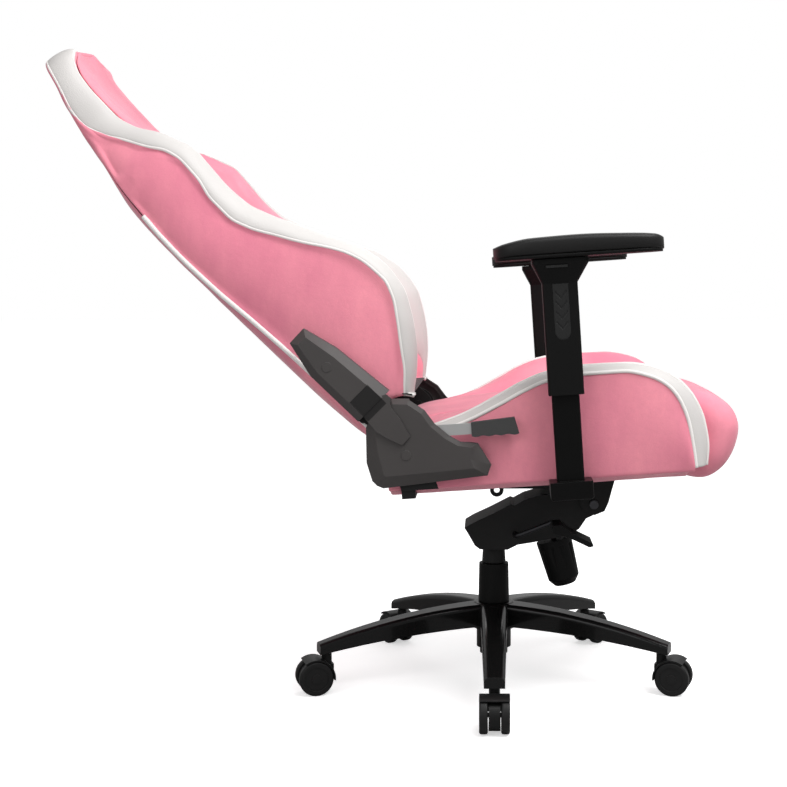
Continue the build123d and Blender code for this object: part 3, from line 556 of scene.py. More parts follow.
def woven(name, colour):
    """Plain weave of webbing or lining."""
    tree, shader = shaded(name, 0.9, Sheen_Weight=0.1)
    weave = use_group(tree, "weave", Threads=260.0)
    tree.links.new(blend_colours(tree, weave.outputs["Shade"], scaled(colour, 0.7), scaled(colour, 1.4)),
                   shader.inputs["Base Color"])
    bumped(tree, shader, weave.outputs["Height"], 0.0005, 0.7)


# Colour, roughness, edge wear and the rest of moulded()'s values.
MOULDED_FINISHES = {
    "gloss_nylon": ((0.005, 0.005, 0.005), 0.22, 0.1,
                    dict(depth=0.00004, Coat_Weight=0.2, Coat_Roughness=0.08, Specular_IOR_Level=0.1)),
    "powder_coat": ((0.008, 0.008, 0.008), 0.5, 0.2,
                    dict(cell_scale=1100.0, depth=0.00015, Specular_IOR_Level=0.2)),
    "black_grain": ((0.004, 0.004, 0.004), 0.5, 0.15, dict(Specular_IOR_Level=0.12)),
    "satin_plastic": ((0.009, 0.009, 0.009), 0.4, 0.2, dict(Specular_IOR_Level=0.35)),
    "satin_paint": ((0.003, 0.003, 0.003), 0.36, 0.08, dict(depth=0.00005, Specular_IOR_Level=0.1)),
    "cover_grey": ((0.052, 0.047, 0.046), 0.5, 0.2, dict(cell_scale=1400.0, Specular_IOR_Level=0.3)),
    # Same plastic as cover_grey; painted shade is added on its recessed facet further down.
    "cover_facet_shade": ((0.052, 0.047, 0.046), 0.5, 0.2, dict(cell_scale=1400.0, Specular_IOR_Level=0.3)),
    "grip_rubber": ((0.024, 0.024, 0.024), 0.62, 0.1, dict(cell_scale=900.0, Specular_IOR_Level=0.35)),
    "pad_skin": ((0.009, 0.0088, 0.0088), 0.46, 0.0, dict(cell_scale=1000.0, Specular_IOR_Level=0.2)),
    "caster_nylon": ((0.006, 0.006, 0.006), 0.42, 0.12, dict(Specular_IOR_Level=0.2)),
    "wheel_nylon": ((0.009, 0.009, 0.009), 0.46, 0.1, dict(Specular_IOR_Level=0.22)),
    "bright_steel": ((0.5, 0.5, 0.51), 0.32, 0.2, dict(depth=0.00004, Metallic=1.0)),
    "dark_steel": ((0.06, 0.06, 0.065), 0.32, 0.2, dict(depth=0.00004, Metallic=1.0)),
    "lever_steel": ((0.1, 0.097, 0.094), 0.34, 0.5, dict(depth=0.00006, Metallic=1.0)),
}
# Material of the CAD nodes in each of the record's slots.
NODE_FINISHES = {
    "base_black": "gloss_nylon", "black_steel": "powder_coat", "black_plastic": "black_grain",
    "bearing_metal": "bright_steel", "rod_steel": "dark_steel", "cover_plastic": "cover_grey",
    "lever_steel": "lever_steel", "grip_rubber": "grip_rubber", "post_steel": "satin_paint",
    "button_plastic": "satin_plastic", "runner_plastic": "black_grain", "pad_foam": "pad_skin",
    "caster_plastic": "caster_nylon", "wheel_plastic": "wheel_nylon", "webbing": "webbing",
    "pink_fabric": "pink_velour",
}


class ChairFabric(bpy.types.PropertyGroup):
    """Colours and fullness of the upholstery"""
    pink: FloatVectorProperty(name="Velour", description="Colour of the pink velour", subtype="COLOR",
                              size=3, min=0, max=1, default=(0.87, 0.3, 0.37))
    trim: FloatVectorProperty(name="Trim", description="Colour of the coated trim bands and piping",
                              subtype="COLOR", size=3, min=0, max=1, default=(0.56, 0.54, 0.525))
    piping_radius: FloatProperty(name="Piping radius", description="Radius of the piping in the seams",
                                 subtype="DISTANCE", unit="LENGTH", default=0.0032, min=0.001, max=0.006)
    pressure: FloatProperty(name="Padding pressure",
                            description="Pressure that fills the panels against their seams",
                            default=3.0, min=0.0, max=10.0)
    swell: FloatProperty(name="Largest swell", description="Most that a panel may rise from its cut shape",
                         subtype="DISTANCE", unit="LENGTH", default=0.006, min=0.0, max=0.02)
    stitch_pitch: FloatProperty(name="Stitch pitch", description="Distance from stitch to stitch",
                                subtype="DISTANCE", unit="LENGTH", default=0.006, min=0.003, max=0.02)


class ChairStage(bpy.types.PropertyGroup):
    """Camera, light and floor"""
    floor: FloatVectorProperty(name="Floor", description="Colour of the floor", subtype="COLOR",
                               size=3, min=0, max=1, default=(0.98, 0.98, 0.98))
    key_power: FloatProperty(name="Key light", description="Power of the large key light", subtype="POWER",
                             unit="POWER", default=80.0, min=0.0, max=2000.0)
    fill_power: FloatProperty(name="Fill and rim lights",
                              description="Power of the fill light and of the rim light", subtype="POWER",
                              unit="POWER", default=14.0, min=0.0, max=2000.0)
    lens: FloatProperty(name="Lens", description="Focal length of the camera", subtype="DISTANCE_CAMERA",
                        unit="CAMERA", default=65.385, min=20.0, max=200.0)


class CHAIR_OT_finishes(bpy.types.Operator):
    """Make the materials and give every CAD node its finish"""
    bl_idname = "chair.finishes"
    bl_label = "Finishes"

    def execute(self, context):
        fabric = context.scene.chair_fabric
        for build in (build_pile_group, build_grain_group, build_wear_group, build_weave_group):
            build()
        velour("pink_velour", fabric.pink)
        coated_leather("white_trim", fabric.trim)
        # The piping is the same coated leather as the trim band; its colour is 1.38 times lighter, a painted
        # highlight along the round piping.
        coated_leather("piping_painted_highlight", scaled(fabric.trim, 1.38), 0.42, 900.0)
        for name, (colour, roughness, edge, others) in MOULDED_FINISHES.items():
            moulded(name, colour, roughness, edge, **others)
        # Painted shade: the recessed facet of the upper side covers is painted near black.
        paint_facet_shade("cover_facet_shade", (0.008, 0.007, 0.007))
        woven("webbing", (0.03, 0.03, 0.03))
        woven("lining", (0.018, 0.018, 0.018))
        slots = {part["node"]: part["material_slot"] for part in frame["record"]["subparts"]}
        for node, piece in frame["nodes"].items():
            name = "cover_facet_shade" if node.startswith("side_cover_upper") else NODE_FINISHES[slots[node]]
            finish = bpy.data.materials[name]
            for holder in piece.material_slots:
                holder.material = finish
        return {"FINISHED"}


# ---------------------------------------------------------------- seat
# One row per station along a side bolster, from the rear over the crest and down the front:
# outer seam x, z; inner edge of the band x, z; seam with the cushion x, z and distance from the middle.
BOLSTER_STATIONS = [
    (-172, 62, -172, 72, -172, 74, 163),
    (-120, 81, -120, 92, -120, 98, 163),
    (-43, 104, -43, 115, -43, 109, 163),
    (18, 130, 17, 142, 18, 113, 163),
    (58, 149, 57, 161, 58, 115, 163),
    (98, 163, 97, 174, 98, 117, 163),
    (160, 170, 163, 181, 160, 118, 163),
    (216, 170, 225, 180, 215, 117, 163),
    (260, 160, 279, 168, 262, 115, 163),
    (290, 142, 313, 145, 296, 108, 172),
    (308, 117, 335, 115, 316, 95, 186),
    (320, 80, 348, 78, 324, 66, 198),
    (325, 41, 352, 40, 326, 36, 202),
    (328, 6, 348, 6, 326, 8, 203),
]
SEAT_FOOT_X = (-172, -120, -43, 14, 52, 90, 146, 192, 234, 264, 286, 304, 318, 326)
BOLSTER_ROWS = 92
BAND_OUTER_Y, BAND_INNER_Y = 256, 228
SIDE_PANEL_Y = 258
SIDE_BULGE = 5
SIDE_STEPS = 17             # columns of the side panel above its foot
FOOT_RADIUS, FOOT_HEIGHT = 6, 5
FOOT_TURNS = (30, 60, 90)
FOOT_RETURN = ((236, -3), (218, -8), (205, -14), (190, -15), (176, -15))     # under the seat: y, z
SIDE_COLUMNS = SIDE_STEPS + len(FOOT_TURNS) + len(FOOT_RETURN)
SEAT_BAND_COLUMNS = 9
SEAT_WING_COLUMNS = 24
# Side outline of the cushion, from the rear foot over the top and round the front roll: x, z.
CUSHION_PATH = [(-166, 14), (-170, 50), (-160, 88), (-118, 110), (-6, 120), (130, 126), (250, 128),
                (330, 126), (362, 121), (387, 107), (405, 88), (413, 63), (409, 38), (397, 12), (378, -9),
                (352, -21), (322, -16), (306, -4)]
CUSHION_ROWS = 120
CUSHION_COLUMNS = 33        # across its top, without the rounded edges
ROLL_SEAM_X = 292
ROLL_CORE = (345, 50)
ROLL_HALF_WIDTH = 204


def bolster_rows():
    """Rows of the bolster's table with the foot's x, spread along the bolster."""
    rows = stations(BOLSTER_STATIONS, BOLSTER_ROWS)
    feet = stations([(x,) for x in SEAT_FOOT_X], BOLSTER_ROWS)
    return [(*row, foot[0]) for row, foot in zip(rows, feet)]


def outward(rows, index):
    """Outward direction, in the seat's side view, of the band's inner edge."""
    before, after = rows[max(index - 1, 0)], rows[min(index + 1, len(rows) - 1)]
    along = Vector((after[2] - before[2], 0, after[3] - before[3])).normalized()
    return Vector((-along.z, 0, along.x))


def seat_point(vector, side):
    """Point of the left bolster, or of its mirror image."""
    return on_seat(vector.x, vector.y * side, vector.z)


def seat_side_grid(side):
    """Outer panel of a bolster: seam, bulged side, rounded foot and the return under the seat."""
    grid = []
    for ax, az, *_, foot_x in bolster_rows():
        row = []
        for k in range(SIDE_STEPS):
            t = k / (SIDE_STEPS - 1)
            bulge = SIDE_BULGE * math.sin(math.pi * t) * min(1, az / 60)
            y = BAND_OUTER_Y + (SIDE_PANEL_Y - BAND_OUTER_Y) * t + bulge
            row.append(seat_point(Vector((ax + (foot_x - ax) * t, y, az * (1 - t) + FOOT_HEIGHT * t)), side))
        for turn in FOOT_TURNS:
            a = math.radians(turn)
            y = SIDE_PANEL_Y - FOOT_RADIUS + FOOT_RADIUS * math.cos(a)
            row.append(seat_point(Vector((foot_x, y, FOOT_HEIGHT - FOOT_RADIUS * math.sin(a))), side))
        for y, z in FOOT_RETURN:
            row.append(seat_point(Vector((foot_x - 8 * smooth_step(250, 326, foot_x), y, z)), side))
        grid.append(row)
    return grid


def seat_band_grid(side):
    """Trim band over the bolster's crest, from the outer seam to the inner edge."""
    rows = bolster_rows()
    grid = []
    for i, (ax, az, bx, bz, *_) in enumerate(rows):
        out = outward(rows, i)
        a, b = Vector((ax, BAND_OUTER_Y, az)), Vector((bx, BAND_INNER_Y, bz))
        lift = out * 6 + Vector((0, 3, 0))
        arch = bezier(a, a.lerp(b, 0.3) + lift, a.lerp(b, 0.75) + lift, b, SEAT_BAND_COLUMNS)
        grid.append([seat_point(p, side) for p in arch])
    return grid


def seat_wing_grid(side):
    """Inner face of a bolster, from the band's inner edge down to the cushion's seam."""
    rows = bolster_rows()
    grid = []
    for i, (_, _, bx, bz, cx, cz, cy, _) in enumerate(rows):
        out = outward(rows, i)
        b, c = Vector((bx, BAND_INNER_Y, bz)), Vector((cx, cy, cz))
        over = b - out * 1.5 + Vector((0, -24, 0))
        down = c + out * 20 + Vector((0, 10, 0))
        grid.append([seat_point(p, side) for p in bezier(b, over, down, c, SEAT_WING_COLUMNS)])
    return grid


def cushion_half_width(x, on_roll):
    """Half width of the cushion between the bolsters, and its full width on the front roll."""
    if on_roll:
        return ROLL_HALF_WIDTH
    return profile([(260, 163), (296, 172), (316, 190), (330, ROLL_HALF_WIDTH)], x) - 0.5


def seat_cushion_grid():
    """Centre cushion with its front roll: rows follow the side outline, columns run across the seat."""
    path = through([Vector((x, 0, z)) for x, z in CUSHION_PATH], CUSHION_ROWS)
    core = Vector((ROLL_CORE[0], 0, ROLL_CORE[1]))
    grid = []
    for i, point in enumerate(path):
        along = (path[min(i + 1, len(path) - 1)] - path[max(i - 1, 0)]).normalized()
        out = Vector((-along.z, 0, along.x))
        front = smooth_step(300, 332, point.x)
        half = cushion_half_width(point.x, i > CUSHION_ROWS // 2 and (point.x > 330 or point.z < 60))
        radius = 10 + 26 * front
        row = []
        for k in range(CUSHION_COLUMNS):
            share = -1 + 2 * k / (CUSHION_COLUMNS - 1)
            crown = 1 - abs(share) ** 2.4
            y = share * (half - radius)
            row.append(point - out * (4 - 5 * crown) * (1 - 0.4 * front) + Vector((0, y, 0)))
        for sign, rim in ((1, row[-1]), (-1, row[0])):
            corner = []
            for turn in (18, 36, 54, 72, 90):
                a = math.radians(turn)
                across = Vector((0, sign * radius * math.sin(a), 0))
                corner.append(rim + across - out * radius * (1 - math.cos(a)))
            for share in (0.34, 0.67, 1.0):
                inside = Vector((core.x, corner[4].y, core.z)) if front > 0.5 else corner[4] - out * 6
                corner.append(corner[4].lerp(inside, share))
            row = row + corner if sign > 0 else corner[::-1] + row
        grid.append([on_seat(*p) for p in row])
    return grid


class CHAIR_OT_seat_cushion(bpy.types.Operator):
    """Build the seat's centre cushion with its front roll"""
    bl_idname = "chair.seat_cushion"
    bl_label = "Seat cushion"

    def execute(self, context):
        fabric = context.scene.chair_fabric
        grid = seat_cushion_grid()
        rows, columns = len(grid), len(grid[0])
        middle = [SEAT.inverted() @ row[columns // 2] for row in grid]
        seam = next(i for i, point in enumerate(middle) if point.x > ROLL_SEAM_X * MM)
        piece = fabric_panel("seat_cushion_cover", grid, "pink_velour", seam_rows=(seam,),
                             seam_columns=(1, 2, 3, columns - 2, columns - 3, columns - 4))
        stuff(piece, fabric.pressure, fabric.swell)
        pucker(piece, columns, 0.0012, seed=1.7)
        thicken(piece, 0.004)
        finish_piece(piece, "seat", ["seat_cushion"])
        out = SEAT.to_3x3() @ Vector((0, 0, 1))
        raised = [p + out * 0.0012 for p in grid[seam][10:-10]]
        for name, shift in (("rear", -STITCH_OFFSET), ("front", STITCH_OFFSET)):
            moved = [p + SEAT.to_3x3() @ Vector((shift, 0, 0)) for p in raised]
            row = stitches(f"seat_cushion_stitches_{name}", moved, out, fabric.stitch_pitch, "pink_velour")
            finish_piece(row, "seat")
        return {"FINISHED"}


class CHAIR_OT_seat_sides(bpy.types.Operator):
    """Build the seat's side panels, trim bands, inner bolster faces and piping"""
    bl_idname = "chair.seat_sides"
    bl_label = "Seat sides"

    def execute(self, context):
        fabric = context.scene.chair_fabric
        for name, side in SIDES:
            flipped = side < 0
            panel = fabric_panel(f"seat_side_{name}", seat_side_grid(side), "pink_velour",
                                 seam_columns=[SIDE_STEPS + k for k in (-1, 2, 5)], flipped=not flipped)
            stuff(panel, fabric.pressure, fabric.swell * 0.6)
            pucker(panel, SIDE_COLUMNS, 0.001, seed=2.3 + side)
            thicken(panel, 0.003)
            finish_piece(panel, "seat", [f"seat_bolster_{name}"])
            wing = fabric_panel(f"seat_bolster_face_{name}", seat_wing_grid(side), "pink_velour",
                                flipped=flipped)
            stuff(wing, fabric.pressure, fabric.swell)
            pucker(wing, SEAT_WING_COLUMNS, 0.0012, seed=4.1 + side)
            thicken(wing, 0.003)
            finish_piece(wing, "seat")
            grid = seat_band_grid(side)
            band = fabric_panel(f"seat_band_{name}", grid, "white_trim", flipped=flipped)
            pucker(band, SEAT_BAND_COLUMNS, 0.0007, reach=4, length=0.03, seed=6.2 + side)
            thicken(band, 0.003)
            finish_piece(band, "seat")
            for edge, column in (("outer", 0), ("inner", -1)):
                line = through([row[column] for row in grid[3:]], 200)
                piping = tube(f"seat_piping_{edge}_{name}", line, fabric.piping_radius, "piping_painted_highlight")
                finish_piece(piping, "seat")
        finish_piece(seat_rear_panel(), "seat")
        return {"FINISHED"}


def seat_rear_panel():
    """Upright panel that closes the seat behind, between the bolsters' rear edges."""
    rows, columns, half_width = 9, 41, 254
    top_edge = [(0, 66), (150, 66), (190, 70), (236, 70), (half_width, 60)]
    grid = []
    for i in range(rows):
        t = i / (rows - 1)
        row = []
        for k in range(columns):
            y = -half_width + 2 * half_width * k / (columns - 1)
            row.append(on_seat(-171 - 3 * math.sin(math.pi * t), y, profile(top_edge, abs(y)) * t))
        grid.append(row)
    piece = fabric_panel("seat_rear_panel", grid, "pink_velour", flipped=True)
    pucker(piece, columns, 0.001, reach=4, seed=8.8)
    thicken(piece, 0.003)
    return piece


# ---------------------------------------------------------------- backrest
# Half of the front outline, from the lower edge to the top of the head: distance from the middle, height.
BACK_OUTLINE = [(240, 10), (249, 80), (252, 160), (251, 260), (247, 380), (243, 470), (238, 550),
                (226, 602), (201, 652), (173, 702), (158, 746), (149, 790), (141, 821), (126, 847),
                (92, 864), (40, 870), (0, 871)]
BACK_ROWS = 104
# Tables against height on the back. Forward distance of each seam:
REAR_SEAM = [(10, -38), (58, -38), (85, -36), (143, -40), (203, -42), (287, -47), (369, -54),
             (452, -57), (494, -56), (539, -53), (600, -48), (660, -40), (719, -34), (769, -24),
             (808, -12), (847, -4), (873, 0)]
REAR_MIDDLE = [(10, -50), (40, -63), (80, -68), (144, -72), (301, -74), (456, -74), (550, -72),
               (647, -54), (719, -45), (801, -18), (839, -4), (873, 3)]
BAND_REAR = [(10, 22), (34, 37), (65, 68), (100, 95), (137, 123), (165, 141), (195, 150), (230, 148),
             (262, 139), (289, 125), (327, 100), (368, 76), (408, 54), (443, 44), (479, 44), (521, 52),
             (559, 54), (589, 48), (622, 28), (662, 6), (690, -11), (733, -25), (779, -21), (815, -17),
             (846, -3), (873, 3)]
BAND_FRONT = [(10, 30), (22, 44), (36, 64), (59, 90), (87, 114), (127, 141), (167, 160), (211, 165),
              (252, 158), (305, 134), (361, 107), (408, 86), (443, 75), (485, 72), (532, 75), (571, 77),
              (602, 69), (633, 59), (679, 31), (715, 20), (760, 20), (803, 24), (834, 33), (855, 42),
              (873, 46)]
PANEL_EDGE = [(10, 20), (40, 34), (70, 52), (130, 80), (210, 86), (330, 64), (450, 34), (560, 26),
              (620, 30), (679, 30), (715, 21), (760, 21), (803, 25), (834, 34), (855, 42), (873, 46)]
# Distance of each seam from the front outline, the band's fall past its crest and the panel's crown:
BAND_REAR_INSET = [(10, 8), (560, 10), (660, 5), (730, 0), (872, 1)]
BAND_CREST_INSET = [(10, 42), (500, 44), (600, 42), (680, 28), (740, 18), (872, 18)]
BAND_FRONT_INSET = [(10, 48), (40, 52), (90, 82), (330, 84), (430, 54), (600, 45), (680, 31),
                    (740, 21), (872, 21)]
BAND_FALL = [(10, 3), (40, 6), (90, 38), (300, 36), (420, 4), (600, 1), (680, 1), (740, 1), (872, 1)]
PANEL_INSET = [(10, 92), (480, 104), (580, 94), (650, 64), (700, 44), (740, 27), (872, 26)]
PANEL_CROWN = [(10, 4), (80, 12), (210, 16), (400, 12), (560, 8), (640, 10), (690, 18), (740, 21), (790, 17),
               (825, 11), (850, 6), (872, 2)]
LUMBAR_SEAM, NECK_SEAM = 330, 640
REAR_PIPING_TOP = 548
REAR_SEAM_INSET = 3
BACK_SIDE_COLUMNS = 21
BACK_WING_COLUMNS = 17
BAND_FALL_STEPS = 5         # columns of the band past its crest
BAND_COLUMNS = 15
FRONT_PIPING_COLUMN = BAND_COLUMNS - BAND_FALL_STEPS
NARROWEST_ROW = 4           # half width at which the rows over the head stop
LINING_HALF_WIDTH = 240
LINING_FRONT = (14, 24)     # height, forward distance
LINING_REAR = (10, -54)


def back_outline():
    """Points and inward directions of half of the front outline."""
    points = through([Vector((y, u, 0)) for y, u in BACK_OUTLINE], BACK_ROWS)
    rows = []
    for i, point in enumerate(points):
        along = (points[min(i + 1, len(points) - 1)] - points[max(i - 1, 0)]).normalized()
        if i == len(points) - 1:
            along = Vector((-1, 0, 0))
        rows.append((point, Vector((-along.y, along.x, 0))))
    return rows


def back_ring(section, count):
    """Grid round the whole back, up one side, over the head and down the other."""
    half = []
    for point, inward in back_outline():
        row = []
        for inset, forward in section(point.y, count):
            spot = point + inward * inset
            row.append((spot.x, spot.y, forward))
        half.append(row)
    mirrored_half = [[(-y, u, w) for y, u, w in row] for row in half[-2::-1]]
    return [[on_back(*p) for p in row] for row in half + mirrored_half]


def cubic_section(start, start_handle, end_handle, end, count):
    """Points (inset, forward) along a cubic across the back's edge."""
    points = bezier(*(Vector((*p, 0)) for p in (start, start_handle, end_handle, end)), count)
    return [(p.x, p.y) for p in points]


def side_section(u, count):
    """From the rear seam to the band, bulging outwards."""
    rear, front = profile(REAR_SEAM, u), profile(BAND_REAR, u)
    front = max(front, rear + 3)
    end = profile(BAND_REAR_INSET, u)
    depth = front - rear
    bulge = min(12, depth * 0.12)
    return cubic_section((REAR_SEAM_INSET, rear), (-bulge, rear + depth * 0.25),
                         (end - bulge, front - depth * 0.3), (end, front), count)


def band_section(u, count):
    """Over the crest: from the side panel's edge, forwards, then a little down the inner face."""
    start, crest = profile(BAND_REAR_INSET, u), profile(BAND_CREST_INSET, u)
    end = profile(BAND_FRONT_INSET, u)
    rear, front = profile(BAND_REAR, u), profile(BAND_FRONT, u)
    rear = max(rear, profile(REAR_SEAM, u) + 3)
    fall = profile(BAND_FALL, u)
    outer = cubic_section((start, rear), (start + 1, rear + (front - rear) * 0.55),
                          (crest - (crest - start) * 0.4, front), (crest, front), count - BAND_FALL_STEPS + 1)
    inner = cubic_section((crest, front), (crest + (end - crest) * 0.45, front),
                          (end - 2, front - fall * 0.6), (end, front - fall), BAND_FALL_STEPS)
    return outer + inner[1:]


def wing_section(u, count):
    """From the band's front edge down the inner face to the centre panel."""
    start, end = profile(BAND_FRONT_INSET, u), profile(PANEL_INSET, u)
    front, low = profile(BAND_FRONT, u) - profile(BAND_FALL, u), profile(PANEL_EDGE, u)
    low = min(low, front)
    fall = front - low
    return cubic_section((start, front), (start + (end - start) * 0.5, front - fall * 0.1),
                         (end - (end - start) * 0.12, low + fall * 0.4), (end, low), count)


def panel_grid(columns=45):
    """Centre panel and head cushion: rows run from side to side."""
    grid = []
    for point, inward in back_outline():
        inset = profile(PANEL_INSET, point.y)
        edge = point + inward * inset
        low = profile(PANEL_EDGE, point.y)
        if edge.x < NARROWEST_ROW:
            break
        crown = profile(PANEL_CROWN, edge.y)
        row = []
        for k in range(columns):
            share = -1 + 2 * k / (columns - 1)
            rise = (1 - abs(share) ** 2.6) ** 0.7
            row.append(on_back(share * edge.x, edge.y, low + crown * rise))
        grid.append(row)
    return grid


def shell_grid(columns=41):
    """Rear cover between the two rear seams."""
    grid = []
    for point, inward in back_outline():
        edge = point + inward * REAR_SEAM_INSET
        if edge.x < NARROWEST_ROW:
            break
        rear, middle = profile(REAR_SEAM, point.y), profile(REAR_MIDDLE, edge.y)
        row = []
        for k in range(columns):
            share = -1 + 2 * k / (columns - 1)
            depth = (1 - abs(share) ** 5) ** 0.6
            row.append(on_back(share * edge.x, edge.y, rear + (middle - rear) * depth))
        grid.append(row)
    return grid


def lower_lining_grid(rows=17, columns=41):
    """Lining that closes the back's lower end round the recline pivot."""
    inverse = BACK.inverted()
    across = [-LINING_HALF_WIDTH + 2 * LINING_HALF_WIDTH * k / (columns - 1) for k in range(columns)]
    ends = [[inverse @ on_back(y, *edge) / MM for edge in (LINING_FRONT, LINING_REAR)] for y in across]
    grid = []
    for i in range(rows):
        spots = [start.lerp(end, i / (rows - 1)) for start, end in ends]
        grid.append([on_back(spot.y, spot.z, spot.x) for spot in spots])
    return grid


class CHAIR_OT_back_panel(bpy.types.Operator):
    """Build the back's centre panel with its head cushion"""
    bl_idname = "chair.back_panel"
    bl_label = "Back panel"

    def execute(self, context):
        fabric = context.scene.chair_fabric
        grid = panel_grid()
        columns = len(grid[0])
        heights = [(BACK.inverted() @ row[columns // 2]).z / MM for row in grid]
        seams = [min(range(len(heights)), key=lambda i: abs(heights[i] - level))
                 for level in (LUMBAR_SEAM, NECK_SEAM)]
        piece = fabric_panel("back_panel_cover", grid, "pink_velour", seam_rows=seams, flipped=True)
        stuff(piece, fabric.pressure, fabric.swell)
        pucker(piece, columns, 0.0012, seed=3.3)
        thicken(piece, 0.004)
        finish_piece(piece, "backrest", ["back_cushion"])
        turned = BACK.to_3x3()
        out = turned @ Vector((1, 0, 0))
        for label, seam in zip(("lumbar", "neck"), seams):
            for name, shift in (("low", -STITCH_OFFSET), ("high", STITCH_OFFSET)):
                line = [p + out * 0.001 + turned @ Vector((0, 0, shift)) for p in grid[seam][2:-2]]
                row = stitches(f"back_stitches_{label}_{name}", line, out, fabric.stitch_pitch, "pink_velour")
                finish_piece(row, "backrest")
        return {"FINISHED"}


class CHAIR_OT_back_sides(bpy.types.Operator):
    """Build the back's wings, side panels, trim band and piping"""
    bl_idname = "chair.back_sides"
    bl_label = "Back sides"

    def execute(self, context):
        fabric = context.scene.chair_fabric
        side_grid = back_ring(side_section, BACK_SIDE_COLUMNS)
        sides = fabric_panel("back_side_cover", side_grid, "pink_velour")
        stuff(sides, fabric.pressure, fabric.swell)
        pucker(sides, BACK_SIDE_COLUMNS, 0.0012, seed=5.5)
        thicken(sides, 0.003)
        finish_piece(sides, "backrest", ["back_bolster_left", "back_bolster_right"])
        wings = fabric_panel("back_wing_cover", back_ring(wing_section, BACK_WING_COLUMNS), "pink_velour")
        stuff(wings, fabric.pressure, fabric.swell)
        pucker(wings, BACK_WING_COLUMNS, 0.0012, seed=7.7)
        thicken(wings, 0.003)
        finish_piece(wings, "backrest")
        band_grid = back_ring(band_section, BAND_COLUMNS)
        band = fabric_panel("back_band", band_grid, "white_trim")
        pucker(band, BAND_COLUMNS, 0.0008, reach=5, length=0.032, seed=9.1)
        thicken(band, 0.003)
        finish_piece(band, "backrest")
        seam = [row[0] for row in side_grid]
        low = sum(point.y < REAR_PIPING_TOP for point, _ in back_outline())
        thin, thick = fabric.piping_radius, fabric.piping_radius * 1.4
        lines = {"rear": ([row[0] for row in band_grid], 520, thin),
                 "front": ([row[FRONT_PIPING_COLUMN] for row in band_grid], 520, thin),
                 "seam_right": (seam[:low], 260, thick), "seam_left": (seam[-low:], 260, thick)}
        for name, (line, count, radius) in lines.items():
            piping = tube(f"back_piping_{name}", through(line, count), radius, "piping_painted_highlight")
            finish_piece(piping, "backrest")
        return {"FINISHED"}


class CHAIR_OT_back_shell(bpy.types.Operator):
    """Build the back's rear cover and the lining round the recline pivot"""
    bl_idname = "chair.back_shell"
    bl_label = "Back shell"

    def execute(self, context):
        fabric = context.scene.chair_fabric
        grid = shell_grid()
        piece = fabric_panel("back_shell_cover", grid, "pink_velour")
        stuff(piece, fabric.pressure * 0.4, fabric.swell * 0.5)
        pucker(piece, len(grid[0]), 0.0012, seed=11.3)
        thicken(piece, 0.003)
        finish_piece(piece, "backrest", ["back_rear_cover"])
        lining = fabric_panel("back_lower_lining", lower_lining_grid(), "lining", flipped=True)
        thicken(lining, 0.002, 0)
        finish_piece(lining, "backrest")
        return {"FINISHED"}


# ---------------------------------------------------------------- armrest pads
# In the seat's frame, in mm: ends, middle, lower face, and the top's height along it.
PAD_X = (22, 290)
PAD_Y = 301
PAD_HALF_WIDTH = 45
PAD_LOW = 361
PAD_STEPS = 40
LOOP_POINTS = 28
PAD_TOP = [(22, 378), (40, 384), (82, 390.5), (156, 392), (230, 389), (276, 385), (290, 379)]
BASE_LOW, BASE_TOP = 357, 364
BASE_LENGTH_SHARE, BASE_WIDTH_SHARE = 0.985, 0.94


def pad_half_width(t):
    """Half width of the pad at a share of its length, with rounded ends."""
    return PAD_HALF_WIDTH * (1 - abs(2 * t - 1) ** 7) ** 0.4


def pad_loops(low, top, edge):
    """Closed cross-sections along the pad, squarer for a smaller edge."""
    loops = []
    for i in range(PAD_STEPS + 1):
        t = 0.5 - 0.5 * math.cos(math.pi * i / PAD_STEPS)
        x = PAD_X[0] + (PAD_X[1] - PAD_X[0]) * t
        half = max(pad_half_width(t), 2.0)
        high = top(x)
        loop = []
        for k in range(LOOP_POINTS):
            a = 2 * math.pi * (k + 0.5) / LOOP_POINTS
            c, s = math.cos(a), math.sin(a)
            y = math.copysign(abs(c) ** edge, c) * half
            z = (high + low) / 2 + math.copysign(abs(s) ** edge, s) * (high - low) / 2
            loop.append((x, y, z))
        loops.append(loop)
    return loops


def closed_loft(name, loops, material):
    """Closed skin over a row of loops, with its two ends covered."""
    count = len(loops[0])
    vertices = [p for loop in loops for p in loop]
    faces = []
    for i in range(len(loops) - 1):
        for k in range(count):
            n = (k + 1) % count
            faces.append((i * count + k, i * count + n, (i + 1) * count + n, (i + 1) * count + k))
    faces.append(tuple(range(count - 1, -1, -1)))
    faces.append(tuple(range((len(loops) - 1) * count, len(loops) * count)))
    piece = new_piece(name, vertices, faces, material)
    mesh = bmesh.new()
    mesh.from_mesh(piece.data)
    bmesh.ops.recalc_face_normals(mesh, faces=mesh.faces)
    mesh.to_mesh(piece.data)
    mesh.free()
    return piece


class CHAIR_OT_armrest_pads(bpy.types.Operator):
    """Build the moulded armrest pads and their base plates"""
    bl_idname = "chair.armrest_pads"
    bl_label = "Armrest pads"

    def execute(self, context):
        pad_shape = pad_loops(PAD_LOW, lambda x: profile(PAD_TOP, x), 0.42)
        base_shape = [[(x * BASE_LENGTH_SHARE + 2.3, y * BASE_WIDTH_SHARE, z) for x, y, z in loop]
                      for loop in pad_loops(BASE_LOW, lambda x: BASE_TOP, 0.3)]
        for name, side in SIDES:
            body = f"armrest_{name}_pad_body"
            skin, plate = ([[on_seat(x, side * PAD_Y + y, z) for x, y, z in loop] for loop in shape]
                           for shape in (pad_shape, base_shape))
            pad = closed_loft(f"armrest_pad_cover_{name}", skin, "pad_skin")
            finish_piece(pad, body, [f"armrest_{name}_pad"])
            base = closed_loft(f"armrest_pad_base_{name}", plate, "black_grain")
            finish_piece(base, body)
        return {"FINISHED"}


